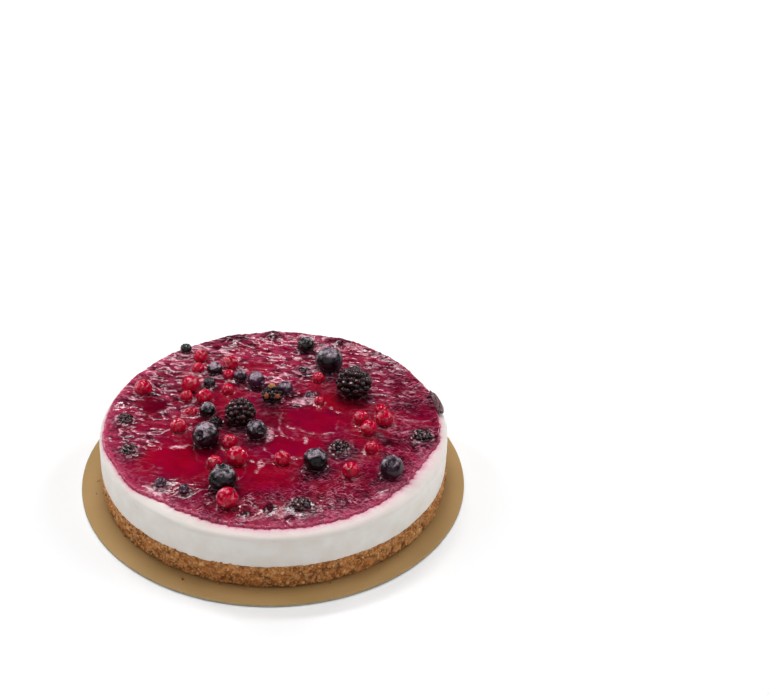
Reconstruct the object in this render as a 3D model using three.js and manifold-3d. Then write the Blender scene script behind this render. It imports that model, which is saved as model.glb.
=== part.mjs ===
// A round berry cheesecake on its gold card cake board: a pressed biscuit-crumb base, a layer of
// white cheese cream with a raised lip, a layer of berry jelly poured inside that lip, and whole
// blueberries, brambles and redcurrants that stand in wells of the jelly.
//
// Units are millimetres and +Z is up. The origin is the middle of the board's underside, and the
// side of the cake that is seen from the front faces -Y.

import * as THREE from 'three';
import { ConvexHull } from 'three/addons/math/ConvexHull.js';
import { SimplexNoise } from 'three/addons/math/SimplexNoise.js';
import { mergeVertices } from 'three/addons/utils/BufferGeometryUtils.js';
import Module from 'manifold-3d';

// ---------------------------------------------------------------- driving dimensions

const BOARD_RADIUS = 100;
const BOARD_THICKNESS = 1.2;
const BOARD_SIDES = 72;

const CAKE_RADIUS = 89.6;
const CAKE_OFFSET = new THREE.Vector2(0.3, 1.4); // the cake isn't quite in the middle of its board

const SEAM_HEIGHT = 13.8; // where the crumb base ends and the cream begins
const SEAM_WAVE = 0.9; // how far the seam wanders up and down at the side
const SEAM_FLAT_RADIUS = 80; // inside this radius the seam is level
const CRUMB_RELIEF = 0.9; // how far crumbs stand out of the base's side, and pits go in
const CRUMB_SIZE = 4.2;
const BASE_COLUMNS = 140;
const BASE_ROWS = 3;

const CREAM_FLOOR = 29.3; // the cream's top inside the lip, where the jelly lies
const CREAM_FLOOR_RADIUS = 79;
const LIP_HEIGHT = 31.2;
const LIP_RADIUS = 87; // where the lip starts to round over into the wall
const CREAM_WAVE = 0.35; // unevenness of the smoothed cream wall
const CREAM_COLUMNS = 72;
const SHOULDER_STEPS = 3;

const JELLY_HEIGHT = 32.3; // the jelly's level top
const JELLY_RADIUS = 87.8; // at the sides and the back, where it runs over the lip
const JELLY_FRONT_RADIUS = 82.2; // at the front, where the lip stays bare
const FRONT_SKEW = 15; // the bare stretch lies this many degrees to the right of the front
const JELLY_EDGE_WAVE = 0.9;
const JELLY_EDGE_THICKNESS = 0.8;
const JELLY_BANK = 6; // the width over which the jelly thins towards its edge
const BACK_SWELL = { heading: 62, spread: 32, height: 1.4 }; // its edge is thicker at the back right
const JELLY_RINGS = 16;
const RIPPLE_HEIGHT = 0.55;
const RIPPLE_LENGTH = 9;
const MENISCUS_HEIGHT = 0.6; // the jelly climbs a little round each berry
const MENISCUS_WIDTH = 2.5;

const BLUEBERRY_SIDES = 10;
const CROWN_TURN = 150; // how far over the blueberry its crown starts, in degrees from the stalk end
const LARGE_BERRY = 9; // larger blueberries have one more ring of facets
const REDCURRANT_SIDES = 8;
const TIP_TURN = 164; // how far over the redcurrant its flower's tip starts
const VALLEY_DEPTH = 0.12; // how deep the valleys of a bramble are, as a share of its radius

const GAP = 0.3; // clearance between pieces that follow each other's curved faces
const WELL_SIDES = 7;

// ---------------------------------------------------------------- what lies on the jelly

// x and y are measured from the cake's centre, size is the diameter and sink the depth in the jelly.
// crown is the heading of the blossom end, anticlockwise from +X, and its lift above level, in degrees.
const BLUEBERRIES = [
  { x: -49, y: 68.5, size: 6.6, sink: 1.4, crown: [190, 50] },
  { x: 17.5, y: 69.5, size: 10, sink: 1.6, crown: [200, 55] },
  { x: 29.5, y: 50.5, size: 15.4, sink: 2.3, crown: [60, 50] },
  { x: -32.5, y: 47.5, size: 8.6, sink: 2, crown: [80, 10] },
  { x: -35, y: 35.5, size: 6.8, sink: 2.2, crown: [30, 20] },
  { x: -18.5, y: 41.5, size: 7.4, sink: 2, crown: [100, 20] },
  { x: -10, y: 36.5, size: 9.6, sink: 2, crown: [330, 15] },
  { x: 7, y: 31.5, size: 8, sink: 2.4, crown: [40, 30] },
  { x: -35, y: 10, size: 8.8, sink: 2.3, crown: [120, 62] },
  { x: -35, y: -15.5, size: 13.8, sink: 2.3, crown: [236, 36] },
  { x: -9.5, y: -10, size: 11.2, sink: 2.3, crown: [300, 38] },
  { x: -25.5, y: -50.5, size: 14, sink: 2.3, crown: [100, 78] },
  { x: 20, y: -36.5, size: 12.9, sink: 2.3, crown: [45, 35] },
  { x: 57, y: -42.5, size: 12.3, sink: 2.3, crown: [270, 80] },
  { x: -55.5, y: -48.5, size: 5.8, sink: 2, crown: [150, 40] },
  { x: -44, y: -53.5, size: 5.4, sink: 2, crown: [20, 35] },
  { x: 18.5, y: 24.5, size: 6.4, sink: 2.5, crown: [210, 70] },
];

// drupelets is the number of beads, squash the height as a share of the diameter.
const BRAMBLES = [
  { x: 42, y: 28, size: 20, sink: 2.4, drupelets: 88, squash: 0.86 },
  { x: -18, y: 4, size: 17, sink: 2.4, drupelets: 68, squash: 0.86 },
  { x: -30.6, y: 1, size: 7.6, sink: 2.4, drupelets: 28, squash: 0.8 },
  { x: -1.5, y: 22.5, size: 11.4, sink: 2.4, drupelets: 46, squash: 0.9 },
  { x: 33, y: -21, size: 11, sink: 2.5, drupelets: 30, squash: 0.5 },
  { x: 75.5, y: -12, size: 11.2, sink: 2.5, drupelets: 30, squash: 0.48 },
  { x: 12, y: -65, size: 10, sink: 2.5, drupelets: 26, squash: 0.48 },
  { x: -77, y: 5.5, size: 9.6, sink: 2.4, drupelets: 26, squash: 0.5 },
  { x: -73, y: -20.5, size: 10, sink: 2.5, drupelets: 26, squash: 0.48 },
  { x: 16, y: 50, size: 8, sink: 2.5, drupelets: 22, squash: 0.48 },
];

const REDCURRANTS = [
  { x: -40.5, y: 60.5, size: 8, sink: 1.8 },
  { x: -41.5, y: 50, size: 7, sink: 2.5 },
  { x: -24, y: 53, size: 8.6, sink: 1.8 },
  { x: -25, y: 43.5, size: 6.2, sink: 1.8 },
  { x: -45, y: 32, size: 10.2, sink: 2 },
  { x: -46.5, y: 23, size: 6.9, sink: 1.8 },
  { x: -37, y: 21, size: 8.6, sink: 1.8 },
  { x: -25, y: 29, size: 6.7, sink: 1.8 },
  { x: -69.5, y: 29.5, size: 9.4, sink: 2 },
  { x: -49, y: -4.5, size: 8.7, sink: 2 },
  { x: -23, y: -18, size: 8.1, sink: 2 },
  { x: -19, y: -32, size: 10.8, sink: 2 },
  { x: -30, y: -35, size: 8.1, sink: 2 },
  { x: -23, y: -64.5, size: 11, sink: 2 },
  { x: 3.5, y: -32.5, size: 8.4, sink: 2 },
  { x: 37, y: -43, size: 8.8, sink: 2 },
  { x: 23.5, y: 39.5, size: 6.6, sink: 1.8 },
  { x: 23.5, y: 18.5, size: 5.8, sink: 1.8 },
  { x: 44.5, y: 1, size: 8.3, sink: 2 },
  { x: 48, y: -8.5, size: 9, sink: 2 },
  { x: 56.5, y: -0.5, size: 9.6, sink: 2 },
  { x: 55.5, y: 9, size: 6.8, sink: 2 },
  { x: 48.5, y: -23.5, size: 7.4, sink: 2.5 },
  { x: -43.5, y: 10, size: 6.2, sink: 2.5 },
];

// One crushed berry hangs over the rim on the right: its heading, and its size along the rim,
// across it and in height.
const RIM_BERRY = { heading: 12.5, along: 17, across: 6, height: 3.4, droop: 30 };

// Berries wholly under the jelly show as mounds: [x, y, width, height].
const MOUNDS = [
  [-21.5, 77.5, 13, 2.6],
  [-1, 82.5, 9, 2.6],
  [36, 73.5, 9, 1.8],
  [-30, -74, 9, 1.6],
  [-81, 20, 8, 1.8],
  [52, 60, 40, 0.8],
  [64, -28, 9, 1],
  [58, -49, 7, 0.9],
];

// Smooth pools in the rippled jelly: [x, y, radius].
const POOLS = [
  [-46, -28, 17],
  [20, 5, 13],
  [6, -20, 13],
  [-9, 54, 11],
  [-6, -46, 13],
  [79, 8, 7],
  [33, 13, 9],
];

// ---------------------------------------------------------------- helpers

const TURN = 2 * Math.PI;
const DEGREE = TURN / 360;
const GOLDEN_ANGLE = TURN * (1 - 1 / ((1 + Math.sqrt(5)) / 2));

// The same stream of numbers from 0 to 1 on each run.
function seededRandom(seed) {
  let state = seed;
  return () => {
    state = (Math.imul(state, 1664525) + 1013904223) >>> 0;
    return state / 2 ** 32;
  };
}

const noise = new SimplexNoise({ random: seededRandom(7) });

const wasm = await Module();
wasm.setup();

// Smooth step from 0 at a to 1 at b.
const blend = (a, b, value) => THREE.MathUtils.smoothstep((value - a) / (b - a), 0, 1);

// A point at a radius and angle round the cake's axis.
const polar = (radius, angle, z) => new THREE.Vector3(radius * Math.cos(angle), radius * Math.sin(angle), z);

const onAxis = (z) => new THREE.Vector3(0, 0, z);

// Noise that joins up with itself round the cake: size is the length of its bumps along the rim.
function rimNoise(angle, size, height = 0) {
  const { x, y } = polar(CAKE_RADIUS / size, angle, 0);
  return noise.noise3d(x, y, height / size);
}

function geometryOf(points, triangles) {
  const geometry = new THREE.BufferGeometry().setFromPoints(points);
  geometry.setIndex(triangles.flat());
  geometry.computeVertexNormals();
  return geometry;
}

// A closed solid from rings of equal length, listed from the bottom centre, up the outside and in to
// the top centre. The first and last entries are single points.
function solidOfRings(bottomCentre, rings, topCentre) {
  const columns = rings[0].length;
  const points = [bottomCentre, ...rings.flat(), topCentre];
  const at = (ring, column) => 1 + ring * columns + (column % columns);
  const top = points.length - 1;
  const triangles = [];
  for (let c = 0; c < columns; c++) {
    triangles.push([0, at(0, c + 1), at(0, c)]);
    for (let r = 0; r + 1 < rings.length; r++) {
      triangles.push([at(r, c), at(r, c + 1), at(r + 1, c + 1)]);
      triangles.push([at(r, c), at(r + 1, c + 1), at(r + 1, c)]);
    }
    triangles.push([at(rings.length - 1, c), at(rings.length - 1, c + 1), top]);
  }
  return geometryOf(points, triangles);
}

function ringOf(columns, pointAt) {
  return Array.from({ length: columns }, (_, c) => pointAt((c / columns) * TURN));
}

function manifoldOf(geometry) {
  const bare = new THREE.BufferGeometry().setAttribute('position', geometry.getAttribute('position'));
  bare.setIndex(geometry.index);
  const merged = mergeVertices(bare);
  return new wasm.Manifold(
    new wasm.Mesh({
      numProp: 3,
      vertProperties: merged.attributes.position.array,
      triVerts: new Uint32Array(merged.index.array),
    }),
  );
}

function geometryFromManifold(solid) {
  const mesh = solid.getMesh();
  const geometry = new THREE.BufferGeometry();
  geometry.setAttribute('position', new THREE.BufferAttribute(mesh.vertProperties, 3));
  geometry.setIndex(new THREE.BufferAttribute(mesh.triVerts, 1));
  geometry.computeVertexNormals();
  return geometry;
}

function piece(name, geometry, material) {
  const mesh = new THREE.Mesh(geometry, material);
  mesh.name = name;
  return mesh;
}

const paint = (color, roughness, metalness = 0) =>
  new THREE.MeshStandardMaterial({ color, roughness, metalness, flatShading: true });

const MATERIALS = {
  goldCard: paint('#a98c55', 0.42, 0.7),
  biscuit: paint('#b07a45', 0.95),
  cream: paint('#f1ebe2', 0.7),
  jelly: paint('#9a0d33', 0.18),
  blueberry: paint('#262235', 0.4),
  bramble: paint('#1f0c16', 0.25),
  redcurrant: paint('#c8102e', 0.12),
};

// ---------------------------------------------------------------- board

// A flat disc of foil-covered card.
function boardGeometry() {
  const profile = [
    [0, 0],
    [BOARD_RADIUS, 0],
    [BOARD_RADIUS, BOARD_THICKNESS],
    [0, BOARD_THICKNESS],
  ].map(([r, z]) => new THREE.Vector2(r, z));
  return new THREE.LatheGeometry(profile, BOARD_SIDES).rotateX(Math.PI / 2);
}

// ---------------------------------------------------------------- biscuit base

// The seam between base and cream: wavy where it shows, level inside.
function seamHeight(angle) {
  return SEAM_HEIGHT + SEAM_WAVE * (0.7 * rimNoise(angle, 34) + 0.3 * rimNoise(angle, 11, 5));
}

// The base's side is pressed crumbs: lumps and pits of two sizes.
function crumbRadius(angle, z) {
  const lumps = 0.6 * rimNoise(angle, CRUMB_SIZE, z) + 0.4 * rimNoise(angle, CRUMB_SIZE / 2, z + 50);
  return CAKE_RADIUS - CRUMB_RELIEF / 2 + CRUMB_RELIEF * lumps;
}

function baseGeometry() {
  const side = Array.from({ length: BASE_ROWS + 1 }, (_, row) =>
    ringOf(BASE_COLUMNS, (angle) => {
      const z = THREE.MathUtils.lerp(BOARD_THICKNESS, seamHeight(angle) - GAP, row / BASE_ROWS);
      return polar(crumbRadius(angle, z), angle, z);
    }),
  );
  const flat = ringOf(BASE_COLUMNS, (angle) => polar(SEAM_FLAT_RADIUS, angle, SEAM_HEIGHT - GAP));
  return solidOfRings(onAxis(BOARD_THICKNESS), [...side, flat], onAxis(SEAM_HEIGHT));
}

// ---------------------------------------------------------------- cheese cream

const SHOULDER_RADIUS = CAKE_RADIUS - LIP_RADIUS;

function creamWall(angle, z) {
  return CAKE_RADIUS + CREAM_WAVE * rimNoise(angle, 26, z);
}

// The height of the bank of cream that the jelly's edge lies on, and of its line past the lip.
function creamBank(radius) {
  return THREE.MathUtils.mapLinear(radius, CREAM_FLOOR_RADIUS, LIP_RADIUS, CREAM_FLOOR, LIP_HEIGHT);
}

function creamGeometry() {
  const wallTop = LIP_HEIGHT - SHOULDER_RADIUS;
  const wallMiddle = (SEAM_HEIGHT + wallTop) / 2;
  const rings = [
    ringOf(CREAM_COLUMNS, (angle) => polar(SEAM_FLAT_RADIUS, angle, SEAM_HEIGHT)),
    ringOf(CREAM_COLUMNS, (angle) => polar(creamWall(angle, SEAM_HEIGHT), angle, seamHeight(angle))),
    ringOf(CREAM_COLUMNS, (angle) => polar(creamWall(angle, wallMiddle), angle, wallMiddle)),
  ];
  for (let step = 0; step <= SHOULDER_STEPS; step++) {
    const turn = (step / SHOULDER_STEPS) * (TURN / 4);
    const inwards = SHOULDER_RADIUS * (1 - Math.cos(turn));
    const z = wallTop + SHOULDER_RADIUS * Math.sin(turn);
    rings.push(ringOf(CREAM_COLUMNS, (angle) => polar(creamWall(angle, wallTop) - inwards, angle, z)));
  }
  rings.push(ringOf(CREAM_COLUMNS, (angle) => polar(CREAM_FLOOR_RADIUS, angle, CREAM_FLOOR)));
  return solidOfRings(onAxis(SEAM_HEIGHT), rings, onAxis(CREAM_FLOOR));
}

// ---------------------------------------------------------------- berry jelly

const STANDING = [...BLUEBERRIES, ...BRAMBLES, ...REDCURRANTS];

// How wide a berry is where it breaks the jelly's surface, as a radius.
function waterline(berry) {
  const half = berry.size / 2;
  const halfHeight = half * (berry.squash ?? 1);
  const below = Math.max(0, halfHeight - berry.sink) / halfHeight;
  return half * Math.sqrt(1 - below * below);
}

// How much of the ripples shows at a point: 0 in the middle of a smooth pool, 1 away from them all.
function unrest(x, y) {
  const each = POOLS.map(([px, py, radius]) => blend(0.6 * radius, 1.2 * radius, Math.hypot(x - px, y - py)));
  return Math.min(...each);
}

// Sharp-crested ripples, such as wrinkles in a set skin, longer from left to right.
function ripple(x, y) {
  const crest = 1 - 2 * Math.abs(noise.noise3d(x / RIPPLE_LENGTH, (1.6 * y) / RIPPLE_LENGTH, 3));
  return RIPPLE_HEIGHT * crest * unrest(x, y);
}

function jellySurface(x, y) {
  let z = JELLY_HEIGHT + ripple(x, y);
  for (const [mx, my, width, height] of MOUNDS) {
    const away = Math.hypot(x - mx, y - my) / (width / 2);
    z += height * Math.exp(-away * away);
  }
  for (const berry of STANDING) {
    const away = Math.max(0, Math.hypot(x - berry.x, y - berry.y) - waterline(berry)) / MENISCUS_WIDTH;
    z += MENISCUS_HEIGHT * Math.exp(-away * away);
  }
  return z;
}

function jellyEdge(angle) {
  const front = blend(0.3, 0.65, -Math.sin(angle - FRONT_SKEW * DEGREE));
  const wave = 0.6 * rimNoise(angle, 16, 20) + 0.4 * rimNoise(angle, 6, 40);
  return THREE.MathUtils.lerp(JELLY_RADIUS, JELLY_FRONT_RADIUS, front) + JELLY_EDGE_WAVE * wave;
}

function jellyEdgeThickness(angle) {
  const away = (angle / DEGREE - BACK_SWELL.heading) / BACK_SWELL.spread;
  return JELLY_EDGE_THICKNESS + BACK_SWELL.height * Math.exp(-away * away);
}

// The top is a web of rings, each with six more points than the one inside it. The underside lies
// flat on the cream and banks up with it.
function pouredJelly() {
  const points = [];
  const starts = [];
  for (let ring = 0; ring <= JELLY_RINGS; ring++) {
    starts.push(points.length);
    const count = Math.max(1, 6 * ring);
    for (let i = 0; i < count; i++) {
      const angle = (i / count) * TURN;
      const edge = jellyEdge(angle);
      const radius = (ring / JELLY_RINGS) * edge;
      const point = polar(radius, angle, 0);
      const edgeTop = creamBank(edge) + GAP + jellyEdgeThickness(angle);
      const inside = blend(edge, edge - JELLY_BANK, radius);
      points.push(point.setZ(THREE.MathUtils.lerp(edgeTop, jellySurface(point.x, point.y), inside)));
    }
  }
  const triangles = [];
  for (let ring = 1; ring <= JELLY_RINGS; ring++) {
    const outer = (i) => starts[ring] + (i % (6 * ring));
    const inner = (i) => starts[ring - 1] + (ring === 1 ? 0 : i % (6 * (ring - 1)));
    for (let sector = 0; sector < 6; sector++) {
      for (let i = 0; i < ring; i++) {
        const out = sector * ring + i;
        const within = sector * (ring - 1) + i;
        triangles.push([outer(out), outer(out + 1), inner(within)]);
        if (i + 1 < ring) triangles.push([inner(within), outer(out + 1), inner(within + 1)]);
      }
    }
  }
  const columns = 6 * JELLY_RINGS;
  const topEdge = starts[JELLY_RINGS];
  const underEdge = points.length;
  points.push(...ringOf(columns, (a) => polar(jellyEdge(a), a, creamBank(jellyEdge(a)) + GAP)));
  const underFlat = points.length;
  points.push(...ringOf(columns, (a) => polar(CREAM_FLOOR_RADIUS - GAP, a, CREAM_FLOOR)));
  const underCentre = points.length;
  points.push(onAxis(CREAM_FLOOR));
  for (let c = 0; c < columns; c++) {
    const next = (c + 1) % columns;
    for (const [upper, lower] of [[topEdge, underEdge], [underEdge, underFlat]]) {
      triangles.push([upper + c, lower + c, lower + next]);
      triangles.push([upper + c, lower + next, upper + next]);
    }
    triangles.push([underFlat + c, underCentre, underFlat + next]);
  }
  return geometryOf(points, triangles);
}

// What a berry pushes out of the jelly: a straight well round the part of it that is sunk.
function wellOf(berry) {
  const bottom = JELLY_HEIGHT - berry.sink - GAP;
  const raised = { ...berry, sink: berry.sink + MENISCUS_HEIGHT + RIPPLE_HEIGHT };
  const radius = waterline(raised) / Math.cos(Math.PI / WELL_SIDES) + GAP;
  const well = new THREE.CylinderGeometry(radius, radius, berry.size, WELL_SIDES);
  return well.rotateX(Math.PI / 2).translate(berry.x, berry.y, bottom + berry.size / 2);
}

function jellyGeometry(cutters) {
  let solid = manifoldOf(pouredJelly());
  for (const cutter of cutters) solid = solid.subtract(manifoldOf(cutter));
  return geometryFromManifold(solid);
}

// ---------------------------------------------------------------- berries

// A turned berry along +Z: profile is [radius, height] from the stalk end to the blossom end.
function turnedBerry(profile, sides) {
  const points = profile.map(([r, z]) => new THREE.Vector2(r, z));
  return new THREE.LatheGeometry(points, sides).rotateX(Math.PI / 2);
}

// Points down a sphere of radius 1, from its lower pole to a last polar angle.
function sphereProfile(steps, lastTurn) {
  return Array.from({ length: steps + 1 }, (_, i) => {
    const turn = (i / steps) * lastTurn * DEGREE;
    return [Math.sin(turn), -Math.cos(turn)];
  });
}

// A blueberry: slightly flattened, with a five-pointed crown round a shallow well.
function blueberryGeometry(size) {
  const body = sphereProfile(size > LARGE_BERRY ? 5 : 4, CROWN_TURN);
  const crown = [
    [0.44, 1.0],
    [0.27, 0.72],
    [0, 0.68],
  ];
  const geometry = turnedBerry([...body, ...crown], BLUEBERRY_SIDES);
  const position = geometry.getAttribute('position');
  for (let i = 0; i < position.count; i++) {
    const z = position.getZ(i);
    const angle = Math.atan2(position.getY(i), position.getX(i));
    const onRim = z > 0.9;
    position.setZ(i, onRim ? z - 0.05 + 0.09 * Math.cos(5 * angle) : z * 0.94);
  }
  return geometry;
}

// A redcurrant: a round berry with the dry tip of its flower.
function redcurrantGeometry() {
  const tip = [
    [0.16, 1.2],
    [0, 1.16],
  ];
  return turnedBerry([...sphereProfile(4, TIP_TURN), ...tip], REDCURRANT_SIDES);
}

// A bramble: points spread evenly on a sphere are the tops of its drupelets, and the valleys lie
// between each three neighbours.
function brambleGeometry(drupelets) {
  const tops = Array.from({ length: drupelets }, (_, i) => {
    const z = 1 - (2 * i + 1) / drupelets;
    return polar(Math.sqrt(1 - z * z), i * GOLDEN_ANGLE, z);
  });
  const hull = new ConvexHull().setFromPoints(tops);
  const points = [...tops];
  const valleys = new Map();
  for (const face of hull.faces) {
    const { edge } = face;
    const middle = new THREE.Vector3();
    middle.add(edge.head().point).add(edge.next.head().point).add(edge.prev.head().point);
    valleys.set(face, points.length);
    points.push(middle.setLength(1 - VALLEY_DEPTH));
  }
  const triangles = [];
  for (const face of hull.faces) {
    let { edge } = face;
    do {
      triangles.push([tops.indexOf(edge.tail().point), valleys.get(edge.twin.face), valleys.get(face)]);
      edge = edge.next;
    } while (edge !== face.edge);
  }
  return geometryOf(points, triangles);
}

// The turn that takes +Z to a heading and a lift above level.
function facing(heading, lift) {
  const toward = polar(Math.cos(lift * DEGREE), heading * DEGREE, Math.sin(lift * DEGREE));
  return new THREE.Quaternion().setFromUnitVectors(new THREE.Vector3(0, 0, 1), toward);
}

// A berry's shape at its true size and turn, its centre at the origin.
function shaped(geometry, berry, turn) {
  const half = berry.size / 2;
  geometry.applyQuaternion(turn);
  geometry.scale(half, half, half * (berry.squash ?? 1));
  return geometry;
}

function place(mesh, berry) {
  const halfHeight = (berry.size / 2) * (berry.squash ?? 1);
  mesh.position.set(berry.x, berry.y, JELLY_HEIGHT - berry.sink + halfHeight);
  return mesh;
}

const numbered = (word, index) => `${word}_${String(index + 1).padStart(2, '0')}`;

function blueberries() {
  return BLUEBERRIES.map((berry, i) => {
    const geometry = shaped(blueberryGeometry(berry.size), berry, facing(...berry.crown));
    return place(piece(numbered('blueberry', i), geometry, MATERIALS.blueberry), berry);
  });
}

function brambles() {
  return BRAMBLES.map((berry, i) => {
    const geometry = shaped(brambleGeometry(berry.drupelets), berry, facing(i * 137, 30));
    return place(piece(numbered('bramble', i), geometry, MATERIALS.bramble), berry);
  });
}

// The flower tips point every way, most of them upwards.
function redcurrants() {
  return REDCURRANTS.map((berry, i) => {
    const geometry = shaped(redcurrantGeometry(), berry, facing(i * 137, 35 + ((i * 17) % 50)));
    return place(piece(numbered('redcurrant', i), geometry, MATERIALS.redcurrant), berry);
  });
}

// The crushed berry on the rim lies half on the jelly and half over the lip.
function rimBerry() {
  const { heading, along, across, height, droop } = RIM_BERRY;
  const geometry = new THREE.SphereGeometry(1, 10, 6).rotateX(Math.PI / 2);
  geometry.scale(across / 2, along / 2, height / 2).rotateY(droop * DEGREE);
  const mesh = piece('rim_berry', geometry, MATERIALS.bramble);
  mesh.position.copy(polar(LIP_RADIUS + 1.2, heading * DEGREE, LIP_HEIGHT + 2.2));
  mesh.rotation.z = heading * DEGREE;
  return mesh;
}

// ---------------------------------------------------------------- assembly

// What is cut out of the jelly: a well for each standing berry, and room for the one on the rim.
function cuttersFor(rim) {
  const roomy = 1 + (2 * GAP) / RIM_BERRY.height;
  rim.updateMatrix();
  return [...STANDING.map(wellOf), rim.geometry.clone().scale(roomy, roomy, roomy).applyMatrix4(rim.matrix)];
}

const rim = rimBerry();

const cake = new THREE.Group();
cake.position.set(CAKE_OFFSET.x, CAKE_OFFSET.y, 0);
cake.add(
  piece('biscuit_base', baseGeometry(), MATERIALS.biscuit),
  piece('cheese_cream', creamGeometry(), MATERIALS.cream),
  piece('berry_jelly', jellyGeometry(cuttersFor(rim)), MATERIALS.jelly),
  ...blueberries(),
  ...brambles(),
  ...redcurrants(),
  rim,
);

const cheesecake = new THREE.Group();
cheesecake.add(piece('cake_board', boardGeometry(), MATERIALS.goldCard), cake);

export default cheesecake;
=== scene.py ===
"""The finished look of a berry cheesecake on its gold card board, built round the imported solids.

Lengths are in millimetres until a mesh is made, when MM turns them into Blender's metres. The
cake's own places are measured from its centre, which CAKE_CENTRE puts on the board.
"""

import itertools
import logging
import math
from dataclasses import dataclass, field
from enum import Enum
from functools import lru_cache
from typing import Any, Optional, Sequence, Union

import bmesh
import bpy
import numpy as np
from mathutils import Matrix, Vector


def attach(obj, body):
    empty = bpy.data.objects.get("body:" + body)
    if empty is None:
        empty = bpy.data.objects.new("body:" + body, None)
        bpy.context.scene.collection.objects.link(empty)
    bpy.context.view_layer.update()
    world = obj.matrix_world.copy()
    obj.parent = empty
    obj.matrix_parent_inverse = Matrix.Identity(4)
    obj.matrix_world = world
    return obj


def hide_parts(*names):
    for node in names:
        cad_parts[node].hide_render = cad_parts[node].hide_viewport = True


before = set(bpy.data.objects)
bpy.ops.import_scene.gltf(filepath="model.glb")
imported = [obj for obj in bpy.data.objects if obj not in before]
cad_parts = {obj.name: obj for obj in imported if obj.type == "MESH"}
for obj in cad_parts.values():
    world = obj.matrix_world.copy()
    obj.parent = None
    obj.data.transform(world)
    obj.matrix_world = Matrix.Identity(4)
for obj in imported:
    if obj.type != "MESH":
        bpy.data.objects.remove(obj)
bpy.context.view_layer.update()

log = logging.getLogger("cheesecake")

Array = np.ndarray
Line = Sequence[tuple[float, float]]
Socket = bpy.types.NodeSocket

MM = 0.001
TURN = 2 * math.pi
DEGREE = TURN / 360
GOLDEN_ANGLE = TURN * (1 - 2 / (1 + math.sqrt(5)))
SPREAD_TURN = 137  # degrees from one berry's heading to the next one's, so that no two are alike

CAKE_CENTRE = np.array([0.3, 1.4, 0.0])
BOARD_TOP = 1.2
CAKE_RADIUS = 89.6
SEAM_HEIGHT = 13.8
CREAM_FLOOR = 29.3
CREAM_FLOOR_RADIUS = 79.0
LIP_HEIGHT = 31.2
LIP_RADIUS = 87.0
SHOULDER_RADIUS = CAKE_RADIUS - LIP_RADIUS
JELLY_HEIGHT = 32.3


# ------------------------------------------------------------------------------ numbers and noise


def smooth(start: float, end: float, value: Array) -> Array:
    """Gives the smooth step from 0 at start to 1 at end."""
    share = np.clip((value - start) / (end - start), 0, 1)
    return share * share * (3 - 2 * share)


def hill(distance: Array, width: float) -> Array:
    """Gives a bell that is 1 at no distance and nearly gone at twice the width."""
    return np.exp(-((distance / width) ** 2))


def columns_of(*parts: Union[Array, float]) -> Array:
    """Stacks coordinates that may be numbers or arrays into rows of x, y, z."""
    return np.stack(np.broadcast_arrays(*parts), axis=-1).astype(float)


def polar(radius: Union[Array, float], angle: Array, height: Union[Array, float]) -> Array:
    """Gives points at a radius and angle round the cake's axis."""
    return columns_of(radius * np.cos(angle), radius * np.sin(angle), height)


def angles_round(count: int) -> Array:
    """Gives evenly spaced angles once round the cake."""
    return np.arange(count) / count * TURN


def facing(heading: float, lift: float) -> Array:
    """Works out how to turn something that points up so that it points another way.

    Args:
        heading: Where it has to point, in degrees anticlockwise from +X.
        lift: How far it has to point above level, in degrees.

    Returns:
        The rotation matrix.
    """
    toward = polar(math.cos(lift * DEGREE), np.array(heading * DEGREE), math.sin(lift * DEGREE))
    return np.array(Vector((0, 0, 1)).rotation_difference(Vector(toward)).to_matrix())


class Noise:
    """Unevenness of natural things, the same on each run."""

    def __init__(self, seed: int) -> None:
        """Shuffles the directions that the noise is made from.

        Args:
            seed: Which noise it is.
        """
        draw = np.random.default_rng(seed)
        self.order = draw.permutation(256)
        leanings = draw.normal(size=(256, 3))
        self.leanings = leanings / np.linalg.norm(leanings, axis=1, keepdims=True)
        self.spots = draw.random((256, 3))
        self.lots = draw.random(256)

    def _lot(self, cell: Array) -> Array:
        """Draws a number for each cell of a grid.

        Args:
            cell: Rows of the cell's whole-numbered x, y, z.

        Returns:
            Shuffled numbers from 0 to 255.
        """
        mixed = self.order[cell[..., 0] % 256]
        mixed = self.order[(mixed + cell[..., 1]) % 256]
        return self.order[(mixed + cell[..., 2]) % 256]

    def wave(self, points: Array) -> Array:
        """Works out rolling noise, with bumps about one unit across.

        Args:
            points: Rows of x, y, z.

        Returns:
            Values from about -1 to 1.
        """
        cell = np.floor(points).astype(int)
        local = points - cell
        fade = local**3 * (local * (local * 6 - 15) + 10)
        total = np.zeros(points.shape[:-1])
        for corner in itertools.product((0, 1), repeat=3):
            leaning = self.leanings[self._lot(cell + np.array(corner))]
            share = np.where(corner, fade, 1 - fade).prod(axis=-1)
            total += share * ((local - corner) * leaning).sum(axis=-1)
        return 1.7 * total

    def grains(self, points: Array) -> tuple[Array, Array, Array]:
        """Packs space with grains one unit apart.

        Args:
            points: Rows of x, y, z.

        Returns:
            The distance to the nearest grain's middle, the distance to the next one's, and a number
            from 0 to 1 that is the nearest grain's own.
        """
        cell = np.floor(points).astype(int)
        nearest = np.full(points.shape[:-1], np.inf)
        second = nearest.copy()
        own = np.zeros_like(nearest)
        for corner in itertools.product((-1, 0, 1), repeat=3):
            other = cell + np.array(corner)
            lot = self._lot(other)
            away = np.linalg.norm(other + self.spots[lot] - points, axis=-1)
            closer = away < nearest
            second = np.where(closer, nearest, np.minimum(second, away))
            nearest = np.where(closer, away, nearest)
            own = np.where(closer, self.lots[lot], own)
        return nearest, second, own


def around(angle: Array, size: float, height: Union[Array, float] = 0.0) -> Array:
    """Gives noise coordinates that join up round the cake, for bumps of a size along its side."""
    return polar(CAKE_RADIUS / size, angle, np.asarray(height) / size)


# ------------------------------------------------------------------------------ colours and nodes


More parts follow.
